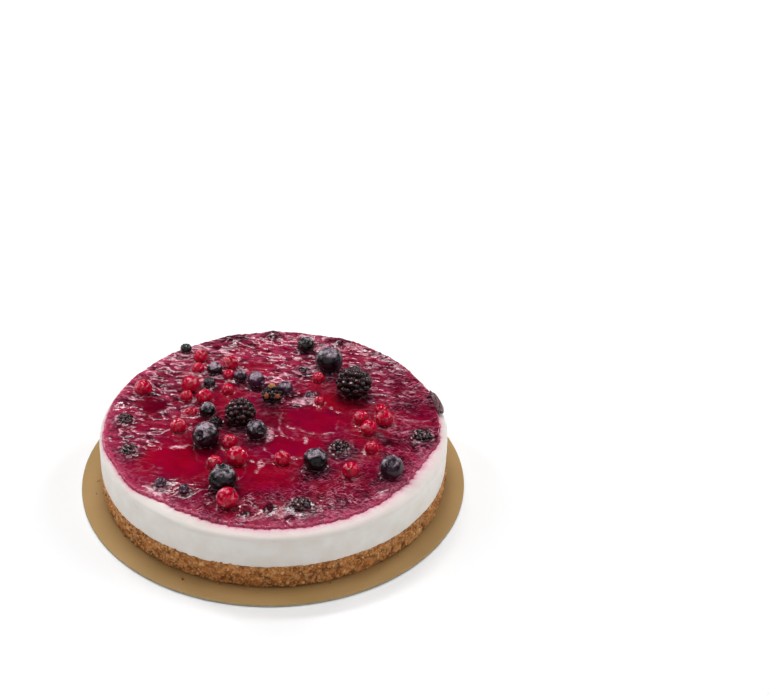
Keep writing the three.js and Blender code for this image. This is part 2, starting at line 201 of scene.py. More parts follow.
def linear(code: str) -> tuple[float, ...]:
    """Turns an sRGB hex colour into Blender's linear colour.

    Args:
        code: The colour, as # and six digits.

    Returns:
        Its red, green, blue and alpha.
    """
    shares = [int(code[i : i + 2], 16) / 255 for i in (1, 3, 5)]
    return (*(s / 12.92 if s <= 0.04045 else ((s + 0.055) / 1.055) ** 2.4 for s in shares), 1.0)


class Nodes:
    """A material's or a world's nodes while they are put together."""

    def __init__(self, owner: Union[bpy.types.Material, bpy.types.World]) -> None:
        """Empties the owner's nodes.

        Args:
            owner: The material or world.
        """
        owner.use_nodes = True
        self.tree = owner.node_tree
        self.tree.nodes.clear()

    def add(
        self, kind: str, *values: Any, out: Union[int, str] = 0, **named: Any
    ) -> Optional[Socket]:
        """Adds a node with its settings and links.

        Args:
            kind: The node's type, without the ShaderNode in front.
            *values: What goes into its first sockets, in order: an output to link, a hex colour or
                another value.
            out: The output to give back, by name or number.
            **named: Its settings, and what goes into its other sockets, by name and with _ for each
                space.

        Returns:
            The output, or None where the node has none.
        """
        node = self.tree.nodes.new("ShaderNode" + kind)
        sockets: dict[Union[int, str], Any] = dict(enumerate(values))
        for name, value in named.items():
            if hasattr(node, name):
                setattr(node, name, value)
            else:
                sockets[name.replace("_", " ")] = value
        for place, value in sockets.items():
            if isinstance(value, Socket):
                self.tree.links.new(value, node.inputs[place])
                continue
            node.inputs[place].default_value = linear(value) if isinstance(value, str) else value
        return node.outputs[out] if node.outputs else None


class Recipe(Nodes):
    """A material in the making, with its patterns measured in millimetres.

    Attributes:
        material: The material.
        place: Where a point lies on the object, in millimetres.
        read: The numbers that the mesh carries at its points, by name.
    """

    def __init__(self, name: str, *reads: str) -> None:
        """Starts the material.

        Args:
            name: What the real one is, and how its surface was made.
            *reads: The names of the numbers to read from the mesh.
        """
        self.material = bpy.data.materials.new(name)
        super().__init__(self.material)
        self.place = self.add("Mapping", self.add("TexCoord", out="Object"), Scale=(1 / MM,) * 3)
        self.read = {n: self.add("Attribute", attribute_name=n, out="Fac") for n in reads}

    def pattern(
        self,
        size: float,
        detail: float = 3.0,
        span: Optional[tuple[float, ...]] = None,
        stretch: float = 1.0,
        turn: float = 0.0,
    ) -> Socket:
        """Lays an uneven pattern over the surface.

        Args:
            size: The width of its blotches, in millimetres.
            detail: How many finer layers lie on them.
            span: The two levels of the pattern to stop it at and, where they don't become 0 and 1,
                what they become.
            stretch: How many times longer than wide the blotches are.
            turn: Where their long side points, in degrees anticlockwise from +X.

        Returns:
            The pattern, from 0 to 1 unless span says otherwise.
        """
        at = self.add(
            "Mapping",
            self.place,
            vector_type="TEXTURE",
            Rotation=(0.0, 0.0, turn * DEGREE),
            Scale=(size * stretch, size, size),
        )
        noise = self.add("TexNoise", at, Scale=1.0, Detail=detail)
        return self.add("MapRange", noise, *span) if span else noise

    def close(self, **sockets: Any) -> bpy.types.Material:
        """Ends the material in one shader.

        Args:
            **sockets: What goes into the shader's sockets, with _ for each space of their names.

        Returns:
            The material.
        """
        shader = self.add("BsdfPrincipled", subsurface_method="RANDOM_WALK", **sockets)
        self.add("OutputMaterial", shader)
        return self.material


# ------------------------------------------------------------------------------ finishes


@dataclass(frozen=True)
class GoldFoil:
    """Gold polyester foil, laminated on card: satin, with a broad soft glow and no mirror image."""

    tone: str = "#ac8a58"
    worn: str = "#9e7f4c"
    cloud: float = 45.0
    grain: float = 0.7  # the card's fibre is finer, and is drawn as coarse as it needs to show

    def material(self) -> bpy.types.Material:
        """Builds the satin foil with the card's fibre just showing through.

        Returns:
            The material.
        """
        r = Recipe("gold_foil_laminated")
        fibre = r.pattern(self.grain, 2, stretch=2.5)
        return r.close(
            Base_Color=r.add("MixRGB", r.pattern(self.cloud, 2, (0.35, 0.7)), self.tone, self.worn),
            Metallic=0.25,
            Roughness=r.add("MapRange", fibre, 0.3, 0.7, 0.58, 0.68),
            Normal=r.add("Bump", Height=fibre, Distance=0.02 * MM),
        )


@dataclass(frozen=True)
class Greyboard:
    """Pressed waste-paper board, cut by a die: dull, with its layers showing at the cut."""

    tone: str = "#b7b1a4"
    dark: str = "#8c8578"
    layer: float = 0.88  # the layers are finer, and are drawn as coarse as they need to show

    def material(self) -> bpy.types.Material:
        """Builds the layered, fibrous cut edge.

        Returns:
            The material.
        """
        r = Recipe("greyboard_die_cut")
        layers = r.pattern(self.layer)
        return r.close(
            Base_Color=r.add("MixRGB", r.add("MapRange", layers, 0.3, 0.7), self.tone, self.dark),
            Roughness=0.9,
            Normal=r.add("Bump", Height=layers, Distance=0.06 * MM),
        )


@dataclass(frozen=True)
class BiscuitCrumb:
    """Crushed biscuit pressed with butter: rough grains with painted shade in the gaps between
    them, and a faint fatty shine.
    """

    toasted: str = "#8e4f22"
    baked: str = "#c8803f"
    pale: str = "#e6b478"
    # painted shade in the gaps between grains and at the foot
    gap: str = "#552c0e"
    grit: float = 0.5

    def material(self) -> bpy.types.Material:
        """Builds grains that each have their own bake, lighter on the left and right as painted
        light, with painted shade in the gaps between them and at the foot.

        Returns:
            The material.
        """
        r = Recipe("biscuit_crumb_pressed", "bake", "gap")
        speck = r.pattern(self.grit, 4)
        shift = r.add("MapRange", speck, 0.2, 0.8, -0.22, 0.22)
        bake = r.add("Math", r.read["bake"], shift, operation="ADD")
        browned = r.add("MixRGB", r.add("MapRange", bake, 0.0, 0.45), self.toasted, self.baked)
        grain = r.add("MixRGB", r.add("MapRange", bake, 0.45, 1.0), browned, self.pale)
        # the gap value paints shade into the gaps and at the foot
        return r.close(
            Base_Color=r.add("MixRGB", r.read["gap"], grain, self.gap),
            Roughness=r.add("MapRange", speck, 0.3, 0.7, 0.62, 0.85),
            Specular_IOR_Level=0.4,
            Normal=r.add("Bump", Height=speck, Distance=0.16 * MM),
        )


@dataclass(frozen=True)
class CheeseCream:
    """Set cheese cream, smoothed by the ring it was moulded in: moist, soft, barely translucent."""

    white: str = "#f0ece7"
    warm: str = "#e8e2d9"
    # painted shade for the lip's upward-facing shoulder
    painted_shade: str = "#d6cec8"
    blush: str = "#d896ab"
    stain: str = "#b3345c"
    blotch: float = 9.0
    tear: float = 1.6
    smear: float = 3.5
    pore: float = 0.7  # pores are finer, and are drawn as coarse as they need to show

    def material(self) -> bpy.types.Material:
        """Builds the cream with the jelly's colour bled into it near its edge, and painted shade on
        the lip's upward-facing shoulder, where the light falls strongest.

        Returns:
            The material.
        """
        r = Recipe("cheese_cream_moulded", "bleed", "lip")
        blotches = r.pattern(self.blotch, 4, (0.35, 0.7))
        plain = r.add("MixRGB", blotches, self.white, self.warm)
        # painted shade: the lip value darkens the shoulder where it faces up
        cream = r.add("MixRGB", r.read["lip"], plain, self.painted_shade)
        torn = r.pattern(self.tear, 4, (0.3, 0.65, 0.55, 1.25))
        bled = r.add("Math", r.read["bleed"], torn, operation="MULTIPLY")
        pink = r.add("MixRGB", r.add("MapRange", bled, 0.0, 0.8), cream, self.blush)
        pore = r.pattern(self.pore)
        smears = r.add("Bump", Height=r.pattern(self.smear), Distance=0.09 * MM)
        return r.close(
            Base_Color=r.add("MixRGB", r.add("MapRange", bled, 0.75, 1.3), pink, self.stain),
            Roughness=r.add("MapRange", pore, 0.3, 0.7, 0.42, 0.56),
            Subsurface_Weight=0.25,
            Subsurface_Radius=(1.0, 0.85, 0.7),
            Subsurface_Scale=1.6 * MM,
            IOR=1.4,
            Normal=r.add("Bump", Height=pore, Distance=0.05 * MM, Normal=smears),
        )


@dataclass(frozen=True)
class FruitJelly:
    """Berry jelly with pulp, poured and set: wet gloss over a deep, clear red, with rime, painted
    highlights and painted shade.
    """

    crimson: str = "#8e0025"
    magenta: str = "#84002f"
    ember: str = "#a6001c"
    burgundy: str = "#200007"
    # pale pink of thin jelly at the edge, also laid as painted sheen and painted highlight on the
    # wavelets' crests
    thin: str = "#c04468"
    # pale pink of the painted highlight lines, the painted reflections and the rime
    frost: str = "#f4bcca"
    fibre: str = "#c0607e"
    tint: float = 17.0
    cloud: float = 9.0
    mottle: float = 6.0
    string: float = 1.3
    # size of the painted shade in the troughs between the wrinkles
    trough_shade: float = 2.8
    # size of the painted pink sheen over the wavelets
    mist: float = 3.2
    tear: float = 1.5
    wrinkle: float = 7.0
    break_up: float = 2.4
    # size of the grains of rime and painted highlight
    rime: float = 1.3
    hair: float = 0.75  # the pulp's hairs are finer, and are drawn as coarse as they need to show
    tuft: float = 6.0
    lay: float = -8.0  # where the wrinkles run, in degrees from +X
    brushed: float = -24.0  # where the pulp's strings point
    swept: tuple[float, ...] = (-44.0, 4.0, 36.0)  # where its hairs point

    def material(self) -> bpy.types.Material:
        """Builds the wet red surface, brighter over red fruit and darker over black fruit, with
        painted shadow, painted shade in the wavelets' troughs, a painted pink sheen and painted
        highlight lines along the wrinkles.

        Returns:
            The material.
        """
        r = Recipe("fruit_jelly_set", "ember", "pulp", "rime", "ripple", "shade", "thin")
        pulp, ripple = r.read["pulp"], r.read["ripple"]
        tint = r.pattern(self.tint, 3, (0.38, 0.62))
        body = r.add("MixRGB", tint, self.crimson, self.magenta)
        lit = r.add("MixRGB", r.read["ember"], body, self.ember)

        cloud = r.pattern(self.cloud, 4, (0.42, 0.66, 0.0, 0.28), 1.5, self.brushed)
        # painted shade in the troughs between the wrinkles, where the wavelets are
        trough_shade = r.pattern(self.trough_shade, 4, (0.38, 0.54, 0.8, 0.0), 2.4, self.lay)
        mottle = r.pattern(self.mottle, 5, (0.44, 0.62, 0.0, 0.8), 1.4, self.brushed)
        string = r.pattern(self.string, 4, (0.42, 0.64, 0.0, 0.5), 3.2, self.brushed)
        shade = r.add("Math", r.read["shade"], cloud, operation="ADD")
        for share, spots in ((ripple, trough_shade), (pulp, mottle), (pulp, string)):
            shade = r.add("Math", share, spots, shade, operation="MULTIPLY_ADD")
        dark = r.add("MixRGB", r.add("MapRange", shade), lit, self.burgundy)

        # painted sheen: a pale pink mist over the wavelets, for their soft reflection
        misty = r.pattern(self.mist, 4, (0.42, 0.66, 0.0, 0.5), 2.2, self.lay)
        painted_sheen = r.add("Math", ripple, misty, operation="MULTIPLY")
        ragged = r.pattern(self.tear, 4, (0.36, 0.62, 0.35, 1.25))
        pale = r.add("Math", r.read["thin"], ragged, painted_sheen, operation="MULTIPLY_ADD")
        pink = r.add("MixRGB", r.add("MapRange", pale), dark, self.thin)

        # painted highlights: thin pale lines along the wrinkles, where their crests catch the
        # light, with the rime and the painted reflections
        line = self.lines(r, r.pattern(self.wrinkle, 4, None, 2.0, self.lay), 5, 0.17)
        gaps_and_foot_shade = r.pattern(self.break_up, 3, (0.37, 0.56), 1.8, self.lay)
        broken = r.add("Math", line, gaps_and_foot_shade, operation="MULTIPLY")
        wrinkled = r.add("Math", broken, ripple, operation="MULTIPLY")
        grainy = r.pattern(self.rime, 4, (0.42, 0.58), 2.0, self.lay)
        rimed = r.add("Math", r.read["rime"], grainy, operation="MULTIPLY")
        crest = r.add("Math", wrinkled, rimed, operation="MAXIMUM")

        hair = 0.0
        for turn in self.swept:
            brush = r.pattern(self.hair, 3, (0.56, 0.69), 4.5, turn)
            hair = r.add("Math", hair, brush, operation="MAXIMUM")
        tufts = r.pattern(self.tuft, 3, (0.4, 0.6, 0.55, 2.2))
        pulpy = r.add("Math", pulp, tufts, operation="MULTIPLY")
        strand = r.add("Math", hair, pulpy, operation="MULTIPLY")
        hairy = r.add("MixRGB", r.add("MapRange", strand, 0, 1, 0, 0.85), pink, self.fibre)
        raised = r.add("Math", strand, 0.12, crest, operation="MULTIPLY_ADD")
        return r.close(
            Base_Color=r.add("MixRGB", crest, hairy, self.frost),
            Roughness=r.add("MapRange", crest, 0, 1, 0.07, 0.16),
            IOR=1.38,
            Subsurface_Weight=0.2,
            Subsurface_Radius=(1.0, 0.1, 0.16),
            Subsurface_Scale=1.5 * MM,
            Normal=r.add("Bump", Height=raised, Distance=0.16 * MM),
        )

    @staticmethod
    def lines(r: Recipe, pattern: Socket, often: float, width: float) -> Socket:
        """Draws thin, wandering lines where a pattern crosses evenly spaced levels.

        Args:
            r: The recipe to add to.
            pattern: The pattern.
            often: How many levels it has.
            width: The lines' half width, as a share of the step between them.

        Returns:
            1 on the lines and 0 between them.
        """
        levels = r.add("Math", pattern, often, operation="MULTIPLY")
        steps = r.add("Math", levels, 0.5, operation="PINGPONG")
        return r.add("MapRange", steps, 0, width, 1, 0)


@dataclass(frozen=True)
class BlueberrySkin:
    """Ripe blueberry skin under a film of jelly: near black, with some of its grey bloom."""

    skin: str = "#090305"
    bloom: str = "#c4adbd"
    violet: str = "#4c2340"
    jelly: str = "#38040f"
    # painted highlight ring at the jelly's line, with some rime
    rime: str = "#c9a3ae"
    speckle: float = 0.5  # the wax's grains are finer, and are drawn as coarse as they need to show
    rub: float = 2.6
    dent: float = 2.0

    def material(self) -> bpy.types.Material:
        """Builds the skin with its patchy bloom, kept to the upper side where it also paints the
        sheen of light from above, the jelly that it picked up, and a painted highlight ring at the
        jelly's line.

        Returns:
            The material.
        """
        r = Recipe("blueberry_skin_waxy", "bloom", "glaze", "rime", "violet")
        speckle = r.pattern(self.speckle, 5, (0.38, 0.64))
        rubbed = r.pattern(self.rub, 5, (0.4, 0.6, 0.1, 1.3))
        patch = r.add("MapRange", r.add("Math", r.read["bloom"], rubbed, operation="MULTIPLY"))
        dusty = r.add("MapRange", speckle, 0, 1, 0.25, 1.0)
        wax = r.add("Math", patch, dusty, operation="MULTIPLY")
        ground = r.add("MixRGB", r.read["violet"], self.skin, self.violet)
        waxy = r.add("MixRGB", wax, ground, self.bloom)
        glazed = r.add("MixRGB", r.read["glaze"], waxy, self.jelly)
        dents = r.add("Bump", Height=r.pattern(self.dent, 2), Distance=0.08 * MM)
        return r.close(
            Base_Color=r.add("MixRGB", r.read["rime"], glazed, self.rime),
            Roughness=r.add("MapRange", wax, 0, 0.8, 0.1, 0.5),
            IOR=1.38,
            Coat_Weight=0.2,
            Coat_Roughness=0.06,
            Normal=r.add("Bump", Height=speckle, Distance=0.03 * MM, Normal=dents),
        )


@dataclass(frozen=True)
class BrambleSkin:
    """Ripe bramble skin: taut, black and glossy on each bead, wine red where light gets into it."""

    black: str = "#090203"
    wine: str = "#3c0410"
    # pale jelly film and painted highlights on the beads' crowns
    blush: str = "#cfa9b0"
    tint: float = 2.2
    pore: float = 0.6

    def material(self) -> bpy.types.Material:
        """Builds the beads, redder at random and in the valleys, with pale jelly and painted
        highlights where the mesh says.

        Returns:
            The material.
        """
        r = Recipe("bramble_skin_glossy", "frost", "wine")
        shift = r.pattern(self.tint, 2, (0.35, 0.7, -0.1, 0.3))
        wine = r.add("MapRange", r.add("Math", r.read["wine"], shift, operation="ADD"))
        body = r.add("MixRGB", wine, self.black, self.wine)
        return r.close(
            Base_Color=r.add("MixRGB", r.read["frost"], body, self.blush),
            Roughness=0.08,
            IOR=1.38,
            Normal=r.add("Bump", Height=r.pattern(self.pore), Distance=0.02 * MM),
        )


@dataclass(frozen=True)
class RedcurrantSkin:
    """Ripe redcurrant skin: thin, taut and clear, so that the red flesh and veins glow through."""

    red: str = "#a00020"
    bright: str = "#c80038"
    # painted shade towards the bottom of the berry
    deep: str = "#4a0008"
    vein: str = "#d83c5c"
    # pale film and painted highlights on the upper side and at the jelly's line
    frost: str = "#f2a0b4"
    cloud: float = 2.4
    film: float = 1.2
    wrinkle: float = 1.0

    def material(self) -> bpy.types.Material:
        """Builds the glowing flesh with fine meridian veins under a wet gloss, painted shade
        towards the bottom, and a pale film with painted highlights on the upper side.

        Returns:
            The material.
        """
        r = Recipe("redcurrant_skin_clear", "frost", "under", "vein")
        body = r.add("MixRGB", r.pattern(self.cloud, 3, (0.36, 0.64)), self.red, self.bright)
        # painted shade: darker towards the bottom
        under = r.add("MixRGB", r.read["under"], body, self.deep)
        faint = r.add("Math", r.read["vein"], 0.08, operation="MULTIPLY")
        veined = r.add("MixRGB", faint, under, self.vein)
        # pale film with painted highlights where the mesh says
        crisp = r.pattern(self.film, 3, (0.38, 0.6, 0.25, 1.0))
        film = r.add("Math", r.read["frost"], crisp, operation="MULTIPLY")
        wrinkled = r.add("Math", r.pattern(self.wrinkle), r.read["frost"], operation="MULTIPLY")
        return r.close(
            Base_Color=r.add("MixRGB", film, veined, self.frost),
            Roughness=0.06,
            IOR=1.42,
            Subsurface_Weight=0.45,
            Subsurface_Radius=(1.0, 0.06, 0.08),
            Subsurface_Scale=2.0 * MM,
            Normal=r.add("Bump", Height=wrinkled, Distance=0.35 * MM),
        )


@dataclass(frozen=True)
class DriedSepal:
    """The withered flower at a berry's tip: papery and brown."""

    brown: str = "#2c1710"
    straw: str = "#5a3a26"
    streak: float = 0.4

    def material(self) -> bpy.types.Material:
        """Builds the streaked, papery brown.

        Returns:
            The material.
        """
        r = Recipe("sepal_dried")
        streak = r.pattern(self.streak)
        faded = r.add("MapRange", streak, 0.35, 0.65)
        return r.close(
            Base_Color=r.add("MixRGB", faded, self.brown, self.straw),
            Roughness=0.8,
            Normal=r.add("Bump", Height=streak, Distance=0.05 * MM),
        )


@dataclass(frozen=True)
class StalkPith:
    """The torn end of a stalk: corky, tan where it is dry and orange where it bled."""

    tan: str = "#bd8c52"
    orange: str = "#b4532a"
    pore: str = "#4c2a18"
    grain: float = 0.6

    def material(self) -> bpy.types.Material:
        """Builds the corky pith, stained where the mesh says so.

        Returns:
            The material.
        """
        r = Recipe("stalk_pith_torn", "stained")
        grain = r.pattern(self.grain)
        cork = r.add("MixRGB", r.read["stained"], self.tan, self.orange)
        pores = r.add("MapRange", grain, 0.4, 0.65, 0.0, 0.45)
        return r.close(
            Base_Color=r.add("MixRGB", pores, cork, self.pore),
            Roughness=0.7,
            Normal=r.add("Bump", Height=grain, Distance=0.08 * MM),
        )


@dataclass(frozen=True)
class PaperSweep:
    """White background paper, matt: even to the eye, with a grain too faint to see as one."""

    white: str = "#f6f6f6"
    cool: str = "#eceef2"
    grain: float = 3.0

    def material(self) -> bpy.types.Material:
        """Builds the matt paper.

        Returns:
            The material.
        """
        r = Recipe("background_paper_matt")
        grain = r.pattern(self.grain, 2, (0.3, 0.7, 0.0, 0.08))
        return r.close(
            Base_Color=r.add("MixRGB", grain, self.white, self.cool),
            Roughness=1.0,
            Specular_IOR_Level=0.0,
        )


class Finish(Enum):
    """The finishes of the cake, by what they are."""

    GOLD_FOIL = GoldFoil()
    GREYBOARD = Greyboard()
    BISCUIT = BiscuitCrumb()
    CREAM = CheeseCream()
    JELLY = FruitJelly()
    BLUEBERRY = BlueberrySkin()
    BRAMBLE = BrambleSkin()
    REDCURRANT = RedcurrantSkin()
    SEPAL = DriedSepal()
    PITH = StalkPith()
    PAPER = PaperSweep()


class Slot(Enum):
    """The record's material slots."""

    CARD = "gold_card"
    CRUMB = "biscuit_crumb"
    CREAM = "cheese_cream"
    JELLY = "berry_jelly"
    BLUEBERRY = "blueberry_skin"
    BRAMBLE = "bramble_skin"
    REDCURRANT = "redcurrant_skin"


@lru_cache(maxsize=None)
def material_of(finish: Finish) -> bpy.types.Material:
    """Gives a finish's material, which is built only once."""
    return finish.value.material()


# ------------------------------------------------------------------------------ meshes


@dataclass
class Skin:
    """A mesh in the making.

    Attributes:
        points: Rows of x, y, z in millimetres, in the row frame.
        faces: Rows of three point numbers.
        values: Numbers at the points, by the names under which finishes read them.
        finish: Which of the piece's finishes each face has.
    """

    points: Array
    faces: Array
    values: dict[str, Array] = field(default_factory=dict)
    finish: Optional[Array] = None

    def moved(self, by: Array) -> "Skin":
        """Gives the skin moved by x, y, z."""
        return Skin(self.points + by, self.faces, self.values, self.finish)


def joined(skins: Sequence[Skin]) -> Skin:
    """Puts skins into one.

    Args:
        skins: The skins. A value that one of them lacks is 0 there.

    Returns:
        The skin of them all.
    """
    starts = np.cumsum([0] + [len(s.points) for s in skins])
    names = sorted({name for s in skins for name in s.values})
    return Skin(
        np.concatenate([s.points for s in skins]),
        np.concatenate([s.faces + start for s, start in zip(skins, starts)]),
        {
            name: np.concatenate([s.values.get(name, np.zeros(len(s.points))) for s in skins])
            for name in names
        },
        np.concatenate(
            [np.zeros(len(s.faces), int) if s.finish is None else s.finish for s in skins]
        ),
    )


def skin_of_rings(first: Array, rings: Sequence[Array], last: Array) -> Skin:
    """Joins rings of equal length into one closed skin.

    Args:
        first: The single point that closes the bottom.
        rings: Rings of points, anticlockwise from above, up the outside and in towards the top.
        last: The single point that closes the top.

    Returns:
        The skin.
    """
    count = len(rings[0])
    points = np.concatenate([[first], *rings, [last]])
    here = np.arange(count)
    after = (here + 1) % count
    faces = [columns_of(0, 1 + after, 1 + here)]
    for number in range(len(rings) - 1):
        low = 1 + number * count
        high = low + count
        faces.append(columns_of(low + here, low + after, high + after))
        faces.append(columns_of(low + here, high + after, high + here))
    top = 1 + (len(rings) - 1) * count
    faces.append(columns_of(top + here, top + after, len(points) - 1))
    return Skin(points, np.concatenate(faces).astype(int))


@lru_cache(maxsize=None)
def ball(fineness: int) -> Skin:
    """Makes an even ball of radius 1.

    Args:
        fineness: 1 gives 20 faces, and each step up gives four times as many.

    Returns:
        The ball, the same one each time.
    """
    work = bmesh.new()
    bmesh.ops.create_icosphere(work, subdivisions=fineness, radius=1.0)
    work.verts.ensure_lookup_table()
    points = np.array([v.co for v in work.verts], float).reshape(-1, 3)
    faces = np.array([[v.index for v in f.verts] for f in work.faces])
    work.free()
    return Skin(points / np.linalg.norm(points, axis=1, keepdims=True), faces)


def add_piece(
    name: str, skin: Skin, finishes: Sequence[Finish], node: str
) -> bpy.types.Object:
    """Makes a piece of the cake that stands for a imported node.

    Args:
        name: The piece's name.
        skin: Its mesh, in millimetres.
        finishes: Its finishes, in the order that the skin's faces number them.
        node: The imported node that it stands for.

    Returns:
        The piece.
    """
    mesh = bpy.data.meshes.new(name)
    mesh.from_pydata((skin.points * MM).tolist(), [], skin.faces.tolist())
    mesh.polygons.foreach_set("use_smooth", np.ones(len(skin.faces), bool))
    if skin.finish is not None:
        mesh.polygons.foreach_set("material_index", skin.finish)
    for value_name, numbers in skin.values.items():
        layer = mesh.attributes.new(value_name, "FLOAT", "POINT")
        layer.data.foreach_set("value", numbers.astype(np.float32))
    for finish in finishes:
        mesh.materials.append(material_of(finish))
    mesh.update()
    piece = bpy.data.objects.new(name, mesh)
    bpy.context.scene.collection.objects.link(piece)
    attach(piece, "root")
    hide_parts(node)
    log.info("%s: %d triangles", name, len(skin.faces))
    return piece


# ------------------------------------------------------------------------------ cake board


@dataclass
class CakeBoard:
    """The flat disc of foil-covered card under the cake."""

    radius: float = 100.0
    thickness: float = BOARD_TOP
    columns: int = 360
    foil_edge: float = 0.86  # the die drags the foil down the cut as far as this height
    warp: float = 0.05

    def skin(self) -> Skin:
        """Builds the disc, its cut edge and the foil that is pressed over it.

        Returns:
            The skin, with the bare cut as its second finish.
        """
        angle = angles_round(self.columns)
        noise = Noise(11)
        nick = 0.04 * noise.wave(around(angle, 2.5))
        r, t = self.radius, self.thickness
        edge = [(r - 12, 0), (r - 0.25, 0), (r - 0.06, 0.06), (r, 0.2), (r - 0.02, 0.5)]
        edge += [(r, self.foil_edge), (r, self.foil_edge + 0.04), (r - 0.04, 1.06)]
        edge += [(r - 0.16, 1.16), (r - 0.4, t)]
        top = [(x, t) for x in np.linspace(r - 2, 10, 24)]
        rings = []
        for radius, height in edge + top:
            ring = polar(radius + (nick if 0 < height < t else 0), angle, height)
            if height == t:
                inside = smooth(r - 0.4, r - 8, np.full(self.columns, radius))
                ring[:, 2] -= self.warp * inside * (1 + noise.wave(around(angle, 60, radius)))
            rings.append(ring)
        skin = skin_of_rings(np.zeros(3), rings, np.array([0, 0, t]))
        middle = skin.points[skin.faces].mean(axis=1)
        skin.finish = (middle[:, 2] < self.foil_edge).astype(int)
        return skin

    def build(self) -> None:
        """Adds the board."""
        finishes = (Finish.GOLD_FOIL, Finish.GREYBOARD)
        add_piece("board", self.skin(), finishes, "cake_board")


# ------------------------------------------------------------------------------ biscuit base


@dataclass
class Seam:
    """The wavy line where the crumb base ends and the cream begins."""

    wave: float = 0.9
    fray: float = 0.35

    def height(self, angle: Array) -> Array:
        """Works out the seam's height round the side.

        Args:
            angle: Angles round the cake.

        Returns:
            The heights.
        """
        noise = Noise(21)
        slow = 0.7 * noise.wave(around(angle, 34)) + 0.3 * noise.wave(around(angle, 11, 5))
        fast = noise.wave(around(angle, 2.4, 30)) + 0.5 * noise.wave(around(angle, 1.1, 60))
        return SEAM_HEIGHT + self.wave * slow + self.fray * fast


@dataclass
class BiscuitBase:
    """The pressed layer of biscuit crumbs, with loose crumbs standing out of its side."""

    seam: Seam
    relief: float = 1.25
    coarse: float = 2.1
    fine: float = 0.95
    columns: int = 1500
    rows: int = 29
    large_crumbs: int = 950
    small_crumbs: int = 1900
    fallen_crumbs: int = 26
    large_size: tuple[float, float] = (0.9, 2.3)
    small_size: tuple[float, float] = (0.45, 1.0)
    seam_share: float = 0.12  # how many of the crumbs sit on the seam
    hidden_step: float = 5.0  # the hidden top starts this far in
    hidden_drop: float = 1.5  # and lies this far under the seam

    def side(self, angle: Array, height: Array) -> tuple[Array, Array, Array]:
        """Works out the base's side.

        Args:
            angle: Angles round the cake.
            The radius, how baked the grain there is with painted light on the left and right sides,
            and how deep in a gap the place lies, which also paints shade there.

        Returns:
            The radius, how baked the grain there is, and how deep in a gap the place lies.
        """
        noise = Noise(31)
        bend = 0.5 * noise.wave(around(angle, 3.0, height + 9))
        near, next_near, own = noise.grains(around(angle, self.coarse, height + bend))
        near_fine, next_fine, own_fine = noise.grains(around(angle, self.fine, height + 40))
        dome = np.sqrt(np.clip(1 - near**2, 0, 1))
        dome_fine = np.sqrt(np.clip(1 - near_fine**2, 0, 1))
        slow = noise.wave(around(angle, 12, height))
        lumps = 0.55 * dome + 0.3 * dome_fine + 0.2 * slow + 0.25 * own * dome
        torn = np.clip(0.6 + 1.1 * noise.wave(around(angle, 3.4, height + 70)), 0, 1.4)
        gap = smooth(0.28, 0.02, next_near - near) * 0.75 * torn
        gap += smooth(0.2, 0.0, next_fine - near_fine) * 0.4 * torn
        radius = CAKE_RADIUS - self.relief + self.relief * lumps - 0.35 * gap
        # painted light: the left and right sides are made lighter, where the side lights fall
        bake = 0.08 + 0.4 * own + 0.4 * own_fine + 0.16 * np.abs(np.cos(angle))
        return radius, bake, np.clip(gap, 0, 0.85)

    def core(self) -> Skin:
        """Builds the pressed body with its lumpy side.

        Returns:
            The skin.
        """
        angle = angles_round(self.columns)
        top = self.seam.height(angle)
        bottom = np.array([0, 0, BOARD_TOP])
        middle = np.array([0, 0, SEAM_HEIGHT - self.hidden_drop])
        rings, bakes_and_side_light, gaps_and_foot_shade = [], [0.5], [0.0]
        for row in range(self.rows + 1):
            height = BOARD_TOP + (top - BOARD_TOP) * row / self.rows
            radius, bake, gap = self.side(angle, height)
            tuck = 0.5 * smooth(0.9, 0.0, height - BOARD_TOP) + 0.3 * smooth(0.5, 0.0, top - height)
            rings.append(polar(radius - tuck, angle, height))
            bakes_and_side_light.extend(bake)
            # painted shade: darker towards the foot, by the board
            gaps_and_foot_shade.extend(np.clip(gap + 0.5 * smooth(0.8, 0.0, height - BOARD_TOP), 0, 0.9))
        rings.append(polar(CAKE_RADIUS - self.hidden_step, angle, middle[2]))
        skin = skin_of_rings(bottom, rings, middle)
        missing = len(skin.points) - len(bakes_and_side_light)
        skin.values = {
            "bake": np.array(bakes_and_side_light + [0.5] * missing),
            "gap": np.array(gaps_and_foot_shade + [0.0] * missing),
        }
        return skin

    def crumbs(self, count: int, fineness: int, sizes: tuple[float, float], seed: int) -> Skin:
        """Builds crumbs that stick out of the side.

        Args:
            count: How many.
            fineness: How finely each is meshed.
            sizes: The smallest and largest diameter.
            seed: For the random draws.

        Returns:
            All of them in one skin.
        """
        draw = np.random.default_rng(seed)
        angle = draw.random(count) * TURN
        top = self.seam.height(angle)
        size = sizes[0] + (sizes[1] - sizes[0]) * draw.random(count) ** 2
        lowest = BOARD_TOP + 0.4 * size
        height = lowest + (top + 0.25 - lowest) * draw.random(count)
        on_seam = draw.random(count) < self.seam_share
        height = np.where(on_seam, top + draw.normal(0, 0.25, count), height)
        radius, _, _ = self.side(angle, height)
        spot = polar(np.minimum(radius, CAKE_RADIUS - 0.1) - 0.12 * size, angle, height)
        return self.scattered(spot, size, fineness, seed + 1)

    def fallen(self, seed: int = 45) -> Skin:
        """Builds the few crumbs that lie on the board beside the cake.

        Args:
            seed: For the random draws.

        Returns:
            All of them in one skin.
        """
        draw = np.random.default_rng(seed)
        angle = draw.random(self.fallen_crumbs) * TURN
        size = 0.5 + 0.9 * draw.random(self.fallen_crumbs) ** 2
        radius = CAKE_RADIUS + 0.4 + 5.0 * draw.random(self.fallen_crumbs) ** 3
        return self.scattered(polar(radius, angle, BOARD_TOP + 0.3 * size), size, 2, seed + 1)

